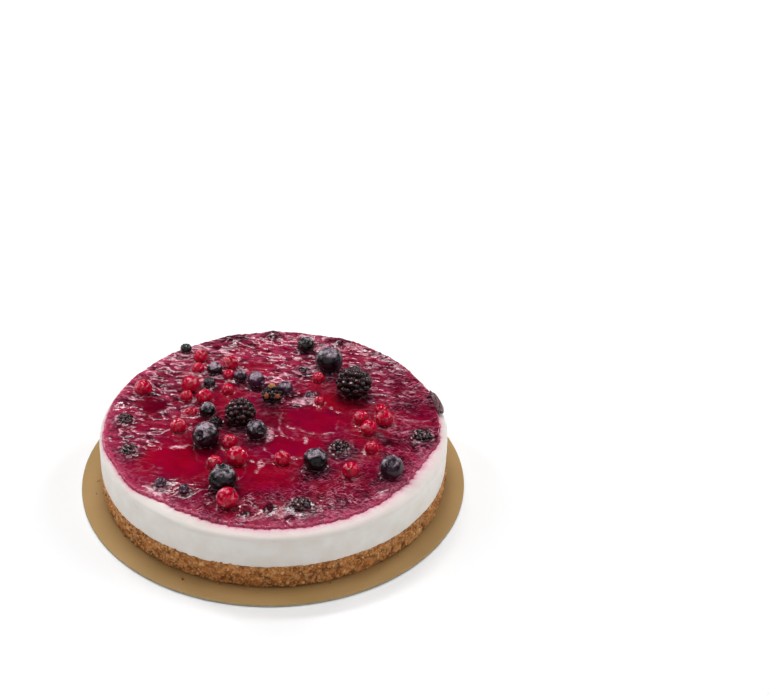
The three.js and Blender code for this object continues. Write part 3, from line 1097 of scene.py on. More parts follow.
    @staticmethod
    def scattered(spot: Array, size: Array, fineness: int, seed: int) -> Skin:
        """Puts an uneven crumb at each spot.

        Args:
            spot: Rows of x, y, z from the cake's centre.
            size: The crumbs' diameters.
            fineness: How finely each is meshed.
            seed: For the random draws.

        Returns:
            The crumbs in one skin.
        """
        draw = np.random.default_rng(seed)
        count = len(spot)
        template = ball(fineness)
        corners = len(template.points)
        noise = Noise(seed)
        own = draw.random((count, 1, 3)) * 50
        shape = template.points[None] * (
            1 + 0.42 * noise.wave(template.points[None] * 1.3 + own)[..., None]
        )
        shape = shape * (0.65 + 0.6 * draw.random((count, 1, 3)))
        turns = np.linalg.qr(draw.normal(size=(count, 3, 3)))[0]
        turns[:, :, 0] *= np.linalg.det(turns)[:, None]
        placed = np.einsum("nij,nkj->nki", turns, shape) * (size / 2)[:, None, None]
        placed += spot[:, None]
        placed[..., 2] = np.maximum(placed[..., 2], BOARD_TOP + 0.02)
        faces = template.faces[None] + (np.arange(count) * corners)[:, None, None]
        bake = np.repeat(draw.random(count) ** 1.2, corners)
        return Skin(
            placed.reshape(-1, 3),
            faces.reshape(-1, 3),
            {"bake": bake, "gap": np.zeros(count * corners)},
        )

    def build(self) -> None:
        """Adds the base and its loose crumbs."""
        pieces = {
            "base": self.core(),
            "crumbs_large": self.crumbs(self.large_crumbs, 2, self.large_size, 41),
            "crumbs_small": self.crumbs(self.small_crumbs, 1, self.small_size, 43),
            "crumbs_fallen": self.fallen(),
        }
        for name, skin in pieces.items():
            placed = skin.moved(CAKE_CENTRE)
            add_piece(name, placed, [Finish.BISCUIT], "biscuit_base")


# ------------------------------------------------------------------------------ jelly's outline


@dataclass
class JellyOutline:
    """Where the poured jelly ends, which both the jelly and the stain on the cream follow."""

    side_radius: float = 87.8
    shoulder_step: float = 2.2
    front_step: float = 5.3
    skew: float = 13.0
    wave: float = 0.9
    ragged: float = 1.0

    def frontness(self, angle: Array) -> Array:
        """Gives 1 where the lip is bare, at the front, and 0 where the jelly runs over it."""
        return smooth(0.38, 0.6, -np.sin(angle - self.skew * DEGREE))

    def mean(self, angle: Array) -> Array:
        """Works out the radius of the jelly's edge without its ragged bits.

        Args:
            angle: Angles round the cake.

        Returns:
            The radii.
        """
        noise = Noise(51)
        beside = smooth(-0.05, 0.2, -np.sin(angle - self.skew * DEGREE))
        slow = 0.6 * noise.wave(around(angle, 16, 20)) + 0.4 * noise.wave(around(angle, 6, 40))
        back_off = self.shoulder_step * beside + self.front_step * self.frontness(angle)
        return self.side_radius - back_off + self.wave * slow

    def edge(self, angle: Array) -> Array:
        """Works out the radius of the jelly's edge.

        Args:
            angle: Angles round the cake.

        Returns:
            The radii.
        """
        noise = Noise(52)
        fast = 0.8 * noise.wave(around(angle, 3.2, 60)) + 0.7 * noise.wave(around(angle, 1.5, 80))
        fast += 0.5 * noise.wave(around(angle, 0.7, 70))
        return self.mean(angle) + self.ragged * (0.45 + 0.55 * self.frontness(angle)) * fast


def cream_top(radius: Array) -> Array:
    """Works out the cream's top: level under the jelly, banked, and rounded at the lip.

    Args:
        radius: Distances from the cake's axis.

    Returns:
        The heights.
    """
    slope = (LIP_HEIGHT - CREAM_FLOOR) / (LIP_RADIUS - CREAM_FLOOR_RADIUS)
    bank = CREAM_FLOOR + slope * (radius - CREAM_FLOOR_RADIUS)
    over = np.clip(radius - LIP_RADIUS, 0, SHOULDER_RADIUS)
    round_off = np.sqrt(SHOULDER_RADIUS**2 - over**2) - SHOULDER_RADIUS
    return np.clip(bank, CREAM_FLOOR, LIP_HEIGHT) + round_off


# ------------------------------------------------------------------------------ cheese cream


@dataclass
class CheeseLayer:
    """The white cheese cream with its rounded lip."""

    seam: Seam
    outline: JellyOutline
    columns: int = 760
    wall_rows: int = 30
    shoulder_rows: int = 9
    lip_rows: int = 18
    swell: float = 0.35
    smear: float = 0.1
    pit: float = 0.35
    hidden_step: float = 4.0  # the hidden underside starts this far in
    hidden_drop: float = 1.3  # and lies this far under the seam

    def wall(self, angle: Array, height: Array) -> Array:
        """Works out the wall, uneven where the mould was drawn off.

        Args:
            angle: Angles round the cake.
            height: Heights on the wall.

        Returns:
            The radii.
        """
        noise = Noise(61)
        slow = noise.wave(around(angle, 26, height))
        tide = noise.wave(polar(CAKE_RADIUS / 4, angle, height / 14 + 7))
        dent, _, own = noise.grains(around(angle, 8, height + 3))
        pit = np.where(own > 0.55, smooth(0.1, 0.03, dent), 0)
        return CAKE_RADIUS + self.swell * slow + self.smear * tide - self.pit * pit

    def skin(self) -> Skin:
        """Builds the layer from its seam, up the wall, over the lip and in under the jelly.

        Returns:
            The skin.
        """
        angle = angles_round(self.columns)
        noise = Noise(62)
        seam = self.seam.height(angle)
        wall_top = LIP_HEIGHT - SHOULDER_RADIUS
        bottom = np.array([0, 0, SEAM_HEIGHT - self.hidden_drop])
        rings = [polar(CAKE_RADIUS - self.hidden_step, angle, bottom[2])]
        rings.append(polar(CAKE_RADIUS - 1.0, angle, seam - 0.5))
        for row in range(self.wall_rows + 1):
            height = seam + (wall_top - seam) * row / self.wall_rows
            foot = 0.35 * smooth(0.7, 0.0, height - seam)
            rings.append(polar(self.wall(angle, height) - foot, angle, height))
        for row in range(1, self.shoulder_rows + 1):
            turn = row / self.shoulder_rows * TURN / 4
            inwards = SHOULDER_RADIUS * (1 - math.cos(turn))
            height = np.full_like(angle, wall_top + SHOULDER_RADIUS * math.sin(turn))
            rings.append(polar(self.wall(angle, height) - inwards, angle, height))
        bulge = self.swell * noise.wave(around(angle, 26, 30))
        for row in range(1, self.lip_rows + 1):
            radius = LIP_RADIUS + (CREAM_FLOOR_RADIUS - 3 - LIP_RADIUS) * row / self.lip_rows
            uneven = 0.12 * noise.wave(around(angle, 5, radius))
            uneven += 0.05 * noise.wave(around(angle, 1.7, radius))
            level = cream_top(np.full_like(angle, radius)) + uneven
            rings.append(polar(radius + bulge, angle, level))
        skin = skin_of_rings(bottom, rings, np.array([0, 0, CREAM_FLOOR]))
        height, radius = skin.points[:, 2], np.hypot(skin.points[:, 0], skin.points[:, 1])
        # painted shade: darker as the shoulder turns to face up, where the light falls strongest
        level = np.clip((height - wall_top) / SHOULDER_RADIUS, 0, 1) ** 1.5
        lip = level * smooth(74, 80, radius)
        skin.values = {"bleed": self.bleed(skin.points), "lip": lip}
        return skin

    def bleed(self, points: Array) -> Array:
        """Works out how far the jelly's colour has crept into the cream.

        Args:
            points: Rows of x, y, z from the cake's centre.

        Returns:
            The strength of the stain at each point, from 0 to 1.
        """
        noise = Noise(63)
        angle = np.arctan2(points[:, 1], points[:, 0])
        radius = np.hypot(points[:, 0], points[:, 1])
        edge = self.outline.edge(angle)
        down = np.clip(LIP_HEIGHT - points[:, 2], 0, None)
        away = np.clip(radius - edge, 0, None) + np.where(radius > LIP_RADIUS, down, 0)
        right = smooth(0.0, 0.5, np.cos(angle + 40 * DEGREE)) * self.outline.frontness(angle)
        torn = noise.wave(around(angle, 7)) + 0.6 * noise.wave(around(angle, 1.5, radius))
        reach = 1.0 + 1.6 * right + 0.6 * np.clip(torn, -1, 1.5)
        return np.exp(-away / np.clip(reach, 0.3, None))

    def build(self) -> None:
        """Adds the cream."""
        skin = self.skin().moved(CAKE_CENTRE)
        add_piece("cream", skin, [Finish.CREAM], "cheese_cream")


# ------------------------------------------------------------------------------ berries' places


@dataclass(frozen=True)
class Berry:
    """One berry on the jelly, whose numbers the lists below give in this order.

    Attributes:
        x: Its place from the cake's centre.
        y: Its place from the cake's centre.
        size: Its diameter.
        sink: How deep it sits in the jelly.
        squash: Its height as a share of its diameter.
    """

    x: float
    y: float
    size: float
    sink: float
    squash: float = 1.0

    @property
    def centre(self) -> Array:
        """The berry's middle in the row frame."""
        height = JELLY_HEIGHT - self.sink + self.size / 2 * self.squash
        return CAKE_CENTRE + np.array([self.x, self.y, height])

    def waterline(self) -> float:
        """Works out where the berry breaks the jelly's surface.

        Returns:
            The berry's radius there.
        """
        half = self.size / 2
        below = max(0.0, 1 - self.sink / (half * self.squash))
        return half * math.sqrt(1 - below * below)


@dataclass(frozen=True)
class Blueberry(Berry):
    """One blueberry.

    Attributes:
        heading: Where its crown points, in degrees anticlockwise from +X.
        lift: How far its crown points up.
        bloom: How much grey bloom is left on it.
        violet: How purple its skin is.
    """

    heading: float = 0.0
    lift: float = 0.0
    bloom: float = 0.5
    violet: float = 0.1


@dataclass(frozen=True)
class Bramble(Berry):
    """One bramble.

    Attributes:
        beads: How many beads it has.
        wine: How red its beads are.
        frost: How much pale jelly lies on its upper side, which also paints a highlight there.
    """

    beads: int = 30
    wine: float = 0.2
    frost: float = 0.0


BLUEBERRIES = tuple(
    Blueberry(*numbers)
    for numbers in (
        (-49, 68.5, 6.6, 1.4, 1.0, 190, 50, 0.12, 0.0),
        (17.5, 69.5, 10, 1.6, 1.0, 200, 55, 0.35, 0.0),
        (29.5, 50.5, 15.4, 2.3, 1.0, 60, 50, 0.5, 0.1),
        (-32.5, 47.5, 8.6, 2, 1.0, 80, 10, 1.0, 0.1),
        (-35, 35.5, 6.8, 2.2, 1.0, 30, 20, 0.1, 0.0),
        (-18.5, 41.5, 7.4, 2, 1.0, 100, 20, 0.55, 0.3),
        (-10, 36.5, 9.6, 2, 1.0, 330, 15, 0.95, 0.8),
        (5.4, 29.3, 8.6, 2.6, 1.0, 40, 30, 0.45, 0.5),
        (-35, 10, 8.8, 2.3, 1.0, 120, 62, 0.6, 0.0),
        (-35, -15.5, 13.8, 2.3, 1.0, 236, 36, 0.8, 0.1),
        (-9.5, -10, 11.2, 2.3, 1.0, 300, 38, 0.75, 0.1),
        (-25.5, -50.5, 14, 2.3, 1.0, 100, 78, 0.5, 0.0),
        (20, -36.5, 12.9, 2.3, 1.0, 45, 35, 0.6, 0.0),
        (57, -42.5, 12.3, 2.3, 1.0, 265, 62, 0.42, 0.2),
        (-55.5, -48.5, 5.8, 2, 1.0, 150, 40, 0.12, 0.5),
        (-44, -53.5, 5.4, 2, 1.0, 20, 35, 0.12, 0.5),
        (18.5, 24.5, 6.4, 3.8, 1.0, 210, 70, 0.05, 0.5),
    )
)

BRAMBLES = tuple(
    Bramble(*numbers)
    for numbers in (
        (42, 28, 20, 2.4, 0.86, 78, 0.45, 0.0),
        (-18, 4, 17, 2.4, 0.86, 68, 0.75, 0.0),
        (-30.6, 1, 7.6, 2.4, 0.8, 28, 0.2, 0.0),
        (-1.5, 22.5, 11.4, 2.4, 0.9, 46, 0.15, 0.0),
        (33, -21, 11, 2.5, 0.5, 30, 0.85, 0.25),
        (75.5, -12, 11.2, 2.5, 0.48, 30, 0.8, 0.3),
        (12, -65, 10, 2.5, 0.48, 26, 0.9, 0.25),
        (-77, 5.5, 9.6, 2.4, 0.5, 26, 0.6, 0.35),
        (-73, -20.5, 10, 2.5, 0.48, 26, 0.8, 0.3),
        (16, 50, 8, 2.5, 0.48, 22, 0.3, 0.3),
    )
)

REDCURRANTS = tuple(
    Berry(*numbers)
    for numbers in (
        (-40.5, 60.5, 8, 1.8),
        (-41.5, 50, 7, 2.5),
        (-24, 53, 8.6, 1.8),
        (-25, 43.5, 6.2, 1.8),
        (-45, 32, 10.2, 2),
        (-46.5, 23, 6.9, 1.8),
        (-37, 21, 8.6, 1.8),
        (-25, 29, 6.7, 1.8),
        (-69.5, 29.5, 9.4, 2),
        (-49, -4.5, 8.7, 2),
        (-23, -18, 8.1, 2),
        (-19, -32, 10.8, 2),
        (-30, -35, 8.1, 2),
        (-23, -64.5, 11, 2),
        (3.5, -32.5, 8.4, 2),
        (37, -43, 8.8, 2),
        (23.5, 39.5, 6.6, 1.8),
        (23.5, 18.5, 5.8, 1.8),
        (44.5, 1, 8.3, 2),
        (48, -8.5, 9, 2),
        (56.5, -0.5, 9.6, 2),
        (55.5, 9, 6.8, 2),
        (48.5, -23.5, 7.4, 2.5),
        (-43.5, 10, 6.2, 2.5),
    )
)


# ------------------------------------------------------------------------------ berry jelly


@dataclass(frozen=True)
class Patch:
    """A soft-edged oval on the jelly.

    Attributes:
        x: Its middle, from the cake's centre.
        y: Its middle, from the cake's centre.
        across: Half its width from left to right.
        deep: Half its depth from front to back.
        strength: How strongly it counts, from 0 to 1.
    """

    x: float
    y: float
    across: float
    deep: float
    strength: float = 1.0


def covered(patches: Sequence[Patch], x: Array, y: Array) -> Array:
    """Works out which places lie in the patches.

    Args:
        patches: The patches.
        x: Places from the cake's centre.
        y: Places from the cake's centre.

    Returns:
        How much each place lies in any of them, from 0 to 1.
    """
    most = np.zeros_like(x)
    for p in patches:
        away = np.hypot((x - p.x) / p.across, (y - p.y) / p.deep)
        most = np.maximum(most, p.strength * smooth(1.3, 0.6, away))
    return most


# Smooth pools, where the jelly is clear and level.
POOLS = (
    Patch(-45, -28, 21, 17),
    Patch(-64, 17, 8, 9),
    Patch(20, 3, 18, 12),
    Patch(8, -22, 22, 9),
    Patch(-10, -45, 18, 11, 0.9),
    Patch(-9, 53, 9, 6, 0.5),
    Patch(79, 7, 7, 8),
    Patch(36, 19, 14, 9, 0.9),
    Patch(-62, -42, 16, 12, 0.6),
    Patch(-30, 25, 12, 9, 0.6),
    Patch(-76, 42, 9, 7, 0.5),
)

# Where the skin set in wavelets.
CHOPPY = (
    Patch(-45, 60, 38, 24),
    Patch(0, 74, 46, 20),
    Patch(5, 48, 22, 14, 0.9),
    Patch(50, 62, 30, 24, 0.6),
    Patch(68, 34, 20, 22, 0.5),
    Patch(-66, 24, 18, 22),
    Patch(-52, 10, 14, 16, 0.8),
    Patch(-70, -12, 14, 12, 0.9),
    Patch(-55, -46, 18, 12, 0.25),
    Patch(15, 20, 12, 8, 0.5),
    Patch(66, -5, 20, 14, 0.5),
)

# Where the pulp lies close under the skin, in fine threads instead of wavelets.
THREADS = (
    Patch(33, -60, 50, 24),
    Patch(70, -25, 20, 32),
    Patch(74, 22, 14, 24, 0.6),
    Patch(-26, -67, 34, 12, 0.9),
)

# Where dark fruit under the skin makes it burgundy, and painted shadow beside the berries and under
# the folds.
DARK_AND_SHADOW = (
    Patch(60, 45, 17, 14, 0.3),
    Patch(74, 22, 12, 14, 0.3),
    Patch(62, -15, 9, 8, 0.45),
    Patch(66, -46, 20, 12, 0.45),
    Patch(45, -62, 20, 9, 0.3),
    Patch(-58, 30, 22, 26, 0.36),
    Patch(-40, 72, 22, 10, 0.45),
    Patch(-21, 79, 9, 6, 0.8),
    Patch(-1, 86, 7, 5, 0.9),
    Patch(36, 76, 8, 6, 0.85),
    Patch(-80, 21, 6, 5, 0.9),
    Patch(-31, -74, 5, 4, 0.95),
    Patch(55, -54, 5, 4.5, 0.9),
    Patch(16, 48, 7, 6, 0.8),
    Patch(-13, -70.5, 3, 3, 0.8),
    Patch(-4.6, -68, 3, 2.5, 0.8),
    Patch(7, -75, 2.5, 2, 0.8),
    Patch(-72, -12, 12, 9, 0.35),
    Patch(8, 24, 9, 7, 0.6),
    Patch(7, 14.5, 11, 4, 0.5),
    Patch(-2, 6, 9, 9, 0.35),
)

# Where red fruit under the skin makes it glow.
RED = (
    Patch(-9, 53, 10, 7, 0.6),
    Patch(38, 20, 15, 10, 0.8),
    Patch(-45, -26, 22, 14, 0.35),
    Patch(-42, 48, 7, 6, 0.8),
    Patch(50, -3, 13, 12, 0.6),
    Patch(4, -40, 16, 10, 0.4),
    Patch(36, 75, 3, 2.5, 0.8),
    Patch(49, -24, 5, 5, 0.8),
)

# Berries wholly under the jelly: x, y, width and height of the mound.
MOUNDS = (
    (-21.5, 78.5, 13, 2.6),
    (-1, 84, 9, 2.6),
    (36, 75, 9, 1.8),
    (-31, -74, 8, 1.6),
    (-81, 20.5, 9, 1.5),
    (52, 60, 40, 0.8),
    (57, -18, 8, 0.5),
    (55, -54, 8, 1.4),
    (-13, -70.5, 4, 0.9),
    (-4.6, -68, 4, 0.8),
    (7, -75, 3, 0.7),
    (20.8, 24.5, 9, 1.3),
)

# Where rime is left on the skin, and painted reflections where its folds catch the light.
RIME_AND_REFLECTION = (
    Patch(13.5, 19.5, 7.5, 2.6, 1.0),
    Patch(-2.8, -11.5, 2, 3.6, 0.6),
    Patch(-7.5, -34.5, 1.8, 3.8, 0.6),
    Patch(-47, -18.5, 5, 1.8, 0.6),
    Patch(15.5, -14.5, 1.3, 3, 0.7),
    Patch(-3, -8, 2, 5, 0.4),
)

# Folds of the skin, each a height, a width and the line that it follows.
FOLDS = (
    (0.9, 0.8, ((4, 9), (2.2, 4), (1.8, -3), (2.6, -9), (5, -13))),
    (0.8, 0.9, ((5, -3), (10, -4), (16, -6.5), (22, -8.5), (30, -7.5))),
    (0.8, 0.8, ((-9, -17), (-5, -21), (-1, -27))),
    (0.8, 0.8, ((8, -28), (12, -29.5), (16, -30))),
    (1.3, 1.3, ((6, 18), (10, 20.5), (14, 19), (18, 18), (21, 20))),
    (1.1, 0.9, ((9, 18), (13, 17.2), (17, 19.8))),
    (0.9, 1.0, ((25, 17), (29, 13.5), (33, 10))),
    (1.2, 1.5, ((-3, -5), (-1.5, -9), (-3.5, -14))),
    (1.0, 1.2, ((-9, -33), (-7.5, -37), (-8.5, -40))),
    (0.6, 0.7, ((-14, -29), (-10, -33))),
    (0.7, 1.1, ((-49, -18), (-45, -19))),
    (0.7, 0.8, ((-70, -11), (-64, -13.5), (-60, -18), (-57, -19))),
    (0.7, 0.7, ((-62, -12), (-58, -14))),
    (0.5, 0.7, ((-6, 42.5), (1, 43.5), (8, 43))),
    (0.7, 0.9, ((62, -7.5), (66, -8.5), (71, -8))),
    (1.5, 0.8, ((15, -12.5), (15.6, -16.5))),
    (0.7, 0.8, ((30, -34), (35, -31), (41, -30))),
    (0.6, 0.8, ((68, 2), (75, 1), (84, 2))),
    (0.7, 0.8, ((33, 2), (31, -4), (33, -8))),
)


def away_from_line(x: Array, y: Array, line: Line) -> Array:
    """Measures how far places are from a line of straight stretches.

    Args:
        x: Places from the cake's centre.
        y: Places from the cake's centre.
        line: The points that the line joins.

    Returns:
        The distances.
    """
    nearest = np.full_like(x, np.inf)
    for (ax, ay), (bx, by) in zip(line, line[1:]):
        dx, dy = bx - ax, by - ay
        along = np.clip(((x - ax) * dx + (y - ay) * dy) / (dx * dx + dy * dy), 0, 1)
        nearest = np.minimum(nearest, np.hypot(x - ax - along * dx, y - ay - along * dy))
    return nearest


@dataclass
class BerryJelly:
    """The poured jelly: wavelets, threads, clear pools, mounds and the rise round each berry.

    Attributes:
        bank: How wide the slope to the edge is at the sides and the back.
        front_bank: How much wider it is at the front.
        trains: The wavelets' headings in degrees and lengths in millimetres.
        swell: The heading, half width in degrees and height of the thicker stretch of the edge.
        reach: How far from a berry the jelly takes notice of it.
        broad_mound: Mounds from this width are swells of the jelly, and not berries under it.
        underside: How deep the jelly's underside is pressed into the cream.
    """

    outline: JellyOutline
    rings: int = 180
    bank: float = 10.0
    front_bank: float = 14.0
    edge_thickness: float = 1.5
    edge_roll: float = 1.5
    trains: tuple[tuple[float, float], ...] = ((58, 5.0), (84, 4.0), (104, 3.1), (70, 2.4))
    wander: float = 2.6
    wavelet_height: float = 0.42
    thread_height: float = 0.04
    strands: int = 90
    strand_height: float = 0.25
    strand_width: float = 0.5
    rise: float = 0.45
    rise_width: float = 1.3
    ring: float = 0.65
    reach: float = 14.0
    swell: tuple[float, float, float] = (62.0, 32.0, 1.4)
    broad_mound: float = 20.0
    underside: float = 0.6

    def web(self) -> tuple[Array, Array, Array]:
        """Lays out an even round web.

        Returns:
            Each point's share of the radius, its angle, and the faces.
        """
        shares, angles, faces = [np.zeros(1)], [np.zeros(1)], []
        start, before = 1, 0
        for ring in range(1, self.rings + 1):
            count = 6 * ring
            place = np.arange(count)
            shares.append(np.full(count, ring / self.rings))
            angles.append(angles_round(count))
            sector, within = place // ring, place % ring
            inner_count = max(1, 6 * (ring - 1))
            inner = before + (sector * (ring - 1) + within) % inner_count
            inner_next = before + (sector * (ring - 1) + within + 1) % inner_count
            outer, outer_next = start + place, start + (place + 1) % count
            faces.append(columns_of(outer, outer_next, inner))
            full = within + 1 < ring
            faces.append(columns_of(inner[full], outer_next[full], inner_next[full]))
            before, start = start, start + count
        return np.concatenate(shares), np.concatenate(angles), np.concatenate(faces).astype(int)

    def waves(self, x: Array, y: Array) -> Array:
        """Works out crossing trains of wavelets with sharp crests.

        Args:
            x: Places from the cake's centre.
            y: Places from the cake's centre.

        Returns:
            Values from about -1 to 1.
        """
        noise = Noise(74)
        total = np.zeros_like(x)
        for number, (heading, length) in enumerate(self.trains):
            along = x * math.cos(heading * DEGREE) + y * math.sin(heading * DEGREE)
            wander = noise.wave(columns_of(x / 10, y / 10, 7 * number))
            wander += 0.3 * noise.wave(columns_of(x / 4, y / 4, 7 * number + 3))
            crest = np.abs(np.sin(math.pi * along / length + self.wander * wander))
            total += length * (1.27 - 2 * crest)
        return total / sum(length for _, length in self.trains)

    def strand_lines(self) -> list[Line]:
        """Draws short, bent lines at random for the loose strands in the skin.

        Returns:
            The lines.
        """
        draw = np.random.default_rng(75)
        lines = []
        for _ in range(self.strands):
            x, y = draw.uniform(-80, 80, 2)
            heading, bend = draw.normal(-0.2, 0.5), draw.normal(0, 0.5)
            step = draw.uniform(1.5, 3.2)
            line = [(x, y)]
            for _ in range(3):
                x, y = x + step * math.cos(heading), y + step * math.sin(heading)
                heading += bend
                line.append((x, y))
            lines.append(tuple(line))
        return lines

    def relief(self, x: Array, y: Array) -> tuple[Array, dict[str, Array]]:
        """Works out the jelly's surface away from its edge.

        Args:
            x: Places from the cake's centre.
            y: Places from the cake's centre.

        Returns:
            The heights, and the values that the finish reads.
        """
        noise = Noise(71)
        drift_x = x + 5.0 * noise.wave(columns_of(x / 15, y / 15, 1))
        drift_y = y + 5.0 * noise.wave(columns_of(x / 15, y / 15, 5))
        drift_x += 3.0 * noise.wave(columns_of(x / 5, y / 4, 2))
        drift_y += 2.5 * noise.wave(columns_of(x / 5, y / 4, 6))
        calm = covered(POOLS, drift_x, drift_y)
        choppy = covered(CHOPPY, drift_x, drift_y)
        threads = covered(THREADS, drift_x, drift_y)
        still = np.maximum(calm, threads)

        wave = self.waves(x, y)
        crest = np.clip(wave, 0, 1) ** 1.3
        patchy = np.clip(0.85 + 0.6 * noise.wave(columns_of(x / 12, y / 9, 15)), 0.3, 1.3)
        wavelets = self.wavelet_height * (0.55 * wave + 0.9 * crest) * patchy
        wavelets *= 0.16 + 0.84 * choppy
        fine = self.waves(2.1 * x, 2.1 * y) + 0.8 * noise.wave(columns_of(x / 1.4, y / 1.1, 21))
        rough = (1 - calm) * ((1 - threads) * wavelets + threads * self.thread_height * fine)
        level = 0.3 * noise.wave(columns_of(x / 12, y / 10, 23)) * (1 - 0.85 * still)
        level *= 0.35 + 0.65 * smooth(-50, 0, y)
        level += 0.05 * noise.wave(columns_of(x / 3, y / 3, 24)) * (1 - 0.8 * still)
        height = JELLY_HEIGHT + rough + level

        lumps = np.zeros_like(x)
        for mound_x, mound_y, width, mound in MOUNDS:
            bumpy = 1 + 0.12 * noise.wave(columns_of(x / 2.2, y / 2.2, mound_x))
            lump = hill(np.hypot(x - mound_x, y - mound_y), width / 2)
            if width < self.broad_mound:
                lumps = np.maximum(lumps, lump)
            height += (mound * bumpy - 0.8 * rough * (mound > 1)) * lump

        folded = np.zeros_like(x)
        bent_x, bent_y = x + 0.3 * (drift_x - x), y + 0.3 * (drift_y - y)
        broken = np.clip(0.5 + 1.3 * noise.wave(columns_of(x / 3.5, y / 3.5, 26)), 0.1, 1.2)
        for fold, width, line in FOLDS:
            beside = hill(away_from_line(bent_x, bent_y, line), width * (0.4 + 0.4 * broken))
            folded = np.maximum(folded, 0.7 * fold * broken * beside)
        for line in self.strand_lines():
            beside = hill(away_from_line(bent_x, bent_y, line), self.strand_width)
            folded = np.maximum(folded, self.strand_height * beside * (1 - 0.95 * calm))
        height += folded * (0.8 + 0.4 * noise.wave(columns_of(x / 1.8, y / 1.8, 27)))
        height, near = self.climb(x, y, height)

        # the pulp's threads darken the jelly, and painted shade lies in the wavelets' troughs
        pulp_and_trough_shade = (1 - calm) * 0.1 * threads + np.clip(-0.2 * wave * choppy, 0, 0.15)
        # shade: dark fruit under the skin, painted shadow beside berries and folds, and the painted
        # trough shade
        shade = np.maximum(covered(DARK_AND_SHADOW, drift_x, drift_y), near["black"]) + pulp_and_trough_shade
        shade = np.maximum(shade, 0.85 * smooth(0.25, 0.8, lumps))
        ripple = (1 - calm) * (0.12 + 0.88 * choppy) * (1 - 0.8 * threads) * (1 - 0.8 * lumps)
        # rime, and painted highlights on the folds' ridges
        rime = covered(RIME_AND_REFLECTION, bent_x, bent_y) + 0.5 * np.clip(folded, 0, 1)
        pulp = 0.12 + 0.34 * threads + 0.12 * smooth(-10, 50, x + 0.4 * y)
        values = {
            "rime": np.clip(np.maximum(rime, near["ring"]), 0, 0.9),
            "ember": np.maximum(covered(RED, drift_x, drift_y), near["red"]),
            "shade": np.clip(shade, 0, 0.95),
            "ripple": np.clip(ripple + 0.5 * folded, 0, 1),
            "pulp": (1 - 0.9 * calm) * pulp * (1 - lumps),
            # pale pink on the wavelets' crests and folds, partly thinner jelly and partly painted
            # highlight
            "thin": 0.35 * crest * choppy * (1 - calm) + 0.3 * np.clip(folded, 0, 1),
        }
        return height, values

    def climb(self, x: Array, y: Array, height: Array) -> tuple[Array, dict[str, Array]]:
        """Makes the jelly rise here and there round the berries that stand in it.

        Args:
            x: Places from the cake's centre.
            y: Places from the cake's centre.
            height: The heights without the berries.

        Returns:
            The heights, and how near each place is to red fruit, which tints the jelly redder in
            front of it, to black fruit, which has painted shadow falling in front of it, and to a
            painted highlight ring, with some rime, round either.
        """
        noise = Noise(72)
        near = {name: np.zeros_like(x) for name in ("red", "black", "ring")}
        for berries, kind in ((REDCURRANTS, "red"), (BLUEBERRIES, "black"), (BRAMBLES, "black")):
            for berry in berries:
                waterline = berry.waterline()
                gap = np.hypot(x - berry.x, y - berry.y) - waterline
                close = gap < self.reach
                gx, gy, gap = x[close], y[close], np.clip(gap[close], 0, None)
                uneven = noise.wave(columns_of(gx / 3.2, gy / 3.2, berry.size))
                finer = noise.wave(columns_of(gx / 1.3, gy / 1.3, berry.size))
                grip = np.clip(0.35 + 1.3 * uneven + 0.5 * finer, 0, 1.6)
                height[close] += self.rise * grip * hill(gap, self.rise_width)
                height[close] += 0.12 * hill(gap, 3.0)
                # painted highlight: a pale, broken ring where the jelly climbs the berry, for the
                # light on its meniscus, with some rime
                ring = self.ring * smooth(0.2, 1.2, grip) * hill(gap - 0.3, 0.7)
                near["ring"][close] = np.maximum(near["ring"][close], ring)
                # painted shadow in front of black fruit, shifted to the front, away from the back
                # lights, and wider for larger berries; for red fruit the same mask tints the jelly
                # redder
                ahead = np.hypot(gx - berry.x, gy - berry.y + 0.25 * berry.size) - waterline
                spread = 1.8 if kind == "red" else 1.0 + 0.2 * berry.size
                dim = 0.75 * hill(np.clip(ahead, 0, None), spread)
                near[kind][close] = np.maximum(near[kind][close], dim)
        return height, near

    def skin(self) -> Skin:
        """Builds the jelly as one closed skin.

        Returns:
            The skin.
        """
        share, angle, faces = self.web()
        edge, mean = self.outline.edge(angle), self.outline.mean(angle)
        radius = share * mean
        radius += (edge - mean) * smooth(4.0, 0.0, mean - radius)
        x, y = radius * np.cos(angle), radius * np.sin(angle)
        height, values = self.relief(x, y)
        heading, spread, lift = self.swell
        swell = lift * hill(angle / DEGREE - heading, spread)
        margin = edge - radius
        bank = self.bank + self.front_bank * self.outline.frontness(angle)
        inside = smooth(0, 1, (mean - radius) / bank)
        rolled = np.sqrt(np.clip(1 - (1 - np.clip(margin / self.edge_roll, 0, 1)) ** 2, 0, 1))
        thickness = (self.edge_thickness + swell) * rolled
        at_edge = cream_top(np.maximum(radius, mean - self.edge_roll)) + thickness
        at_edge += (height - JELLY_HEIGHT) * rolled * 0.8
        height = at_edge + (height - at_edge) * inside
        values["thin"] = np.maximum(values["thin"], self.thinness(angle, margin))
        values["pulp"] += 0.35 * smooth(9, 2, margin)
        top = Skin(columns_of(x, y, height), faces, values)
        return self.closed(top)

    def thinness(self, angle: Array, margin: Array) -> Array:
        """Works out how thin and pale the jelly is near its edge, most on the left.

        Args:
            angle: Angles round the cake.
            margin: Distances from the edge.

        Returns:
            Values from 0 to about 1.
        """
        noise = Noise(73)
        front = self.outline.frontness(angle)
        left = np.maximum(smooth(0.2, 0.9, -np.cos(angle - 10 * DEGREE)), 0.6 * front)
        torn = noise.wave(around(angle, 5, margin)) + 0.7 * noise.wave(around(angle, 1.3, margin))
        right = smooth(0.3, 0.9, np.cos(angle + 40 * DEGREE)) * front
        width = 0.7 + 2.8 * left + 1.6 * right + (0.4 + 1.2 * left) * torn
        return (0.6 + 0.35 * left) * np.exp(-margin / np.clip(width, 0.25, None))

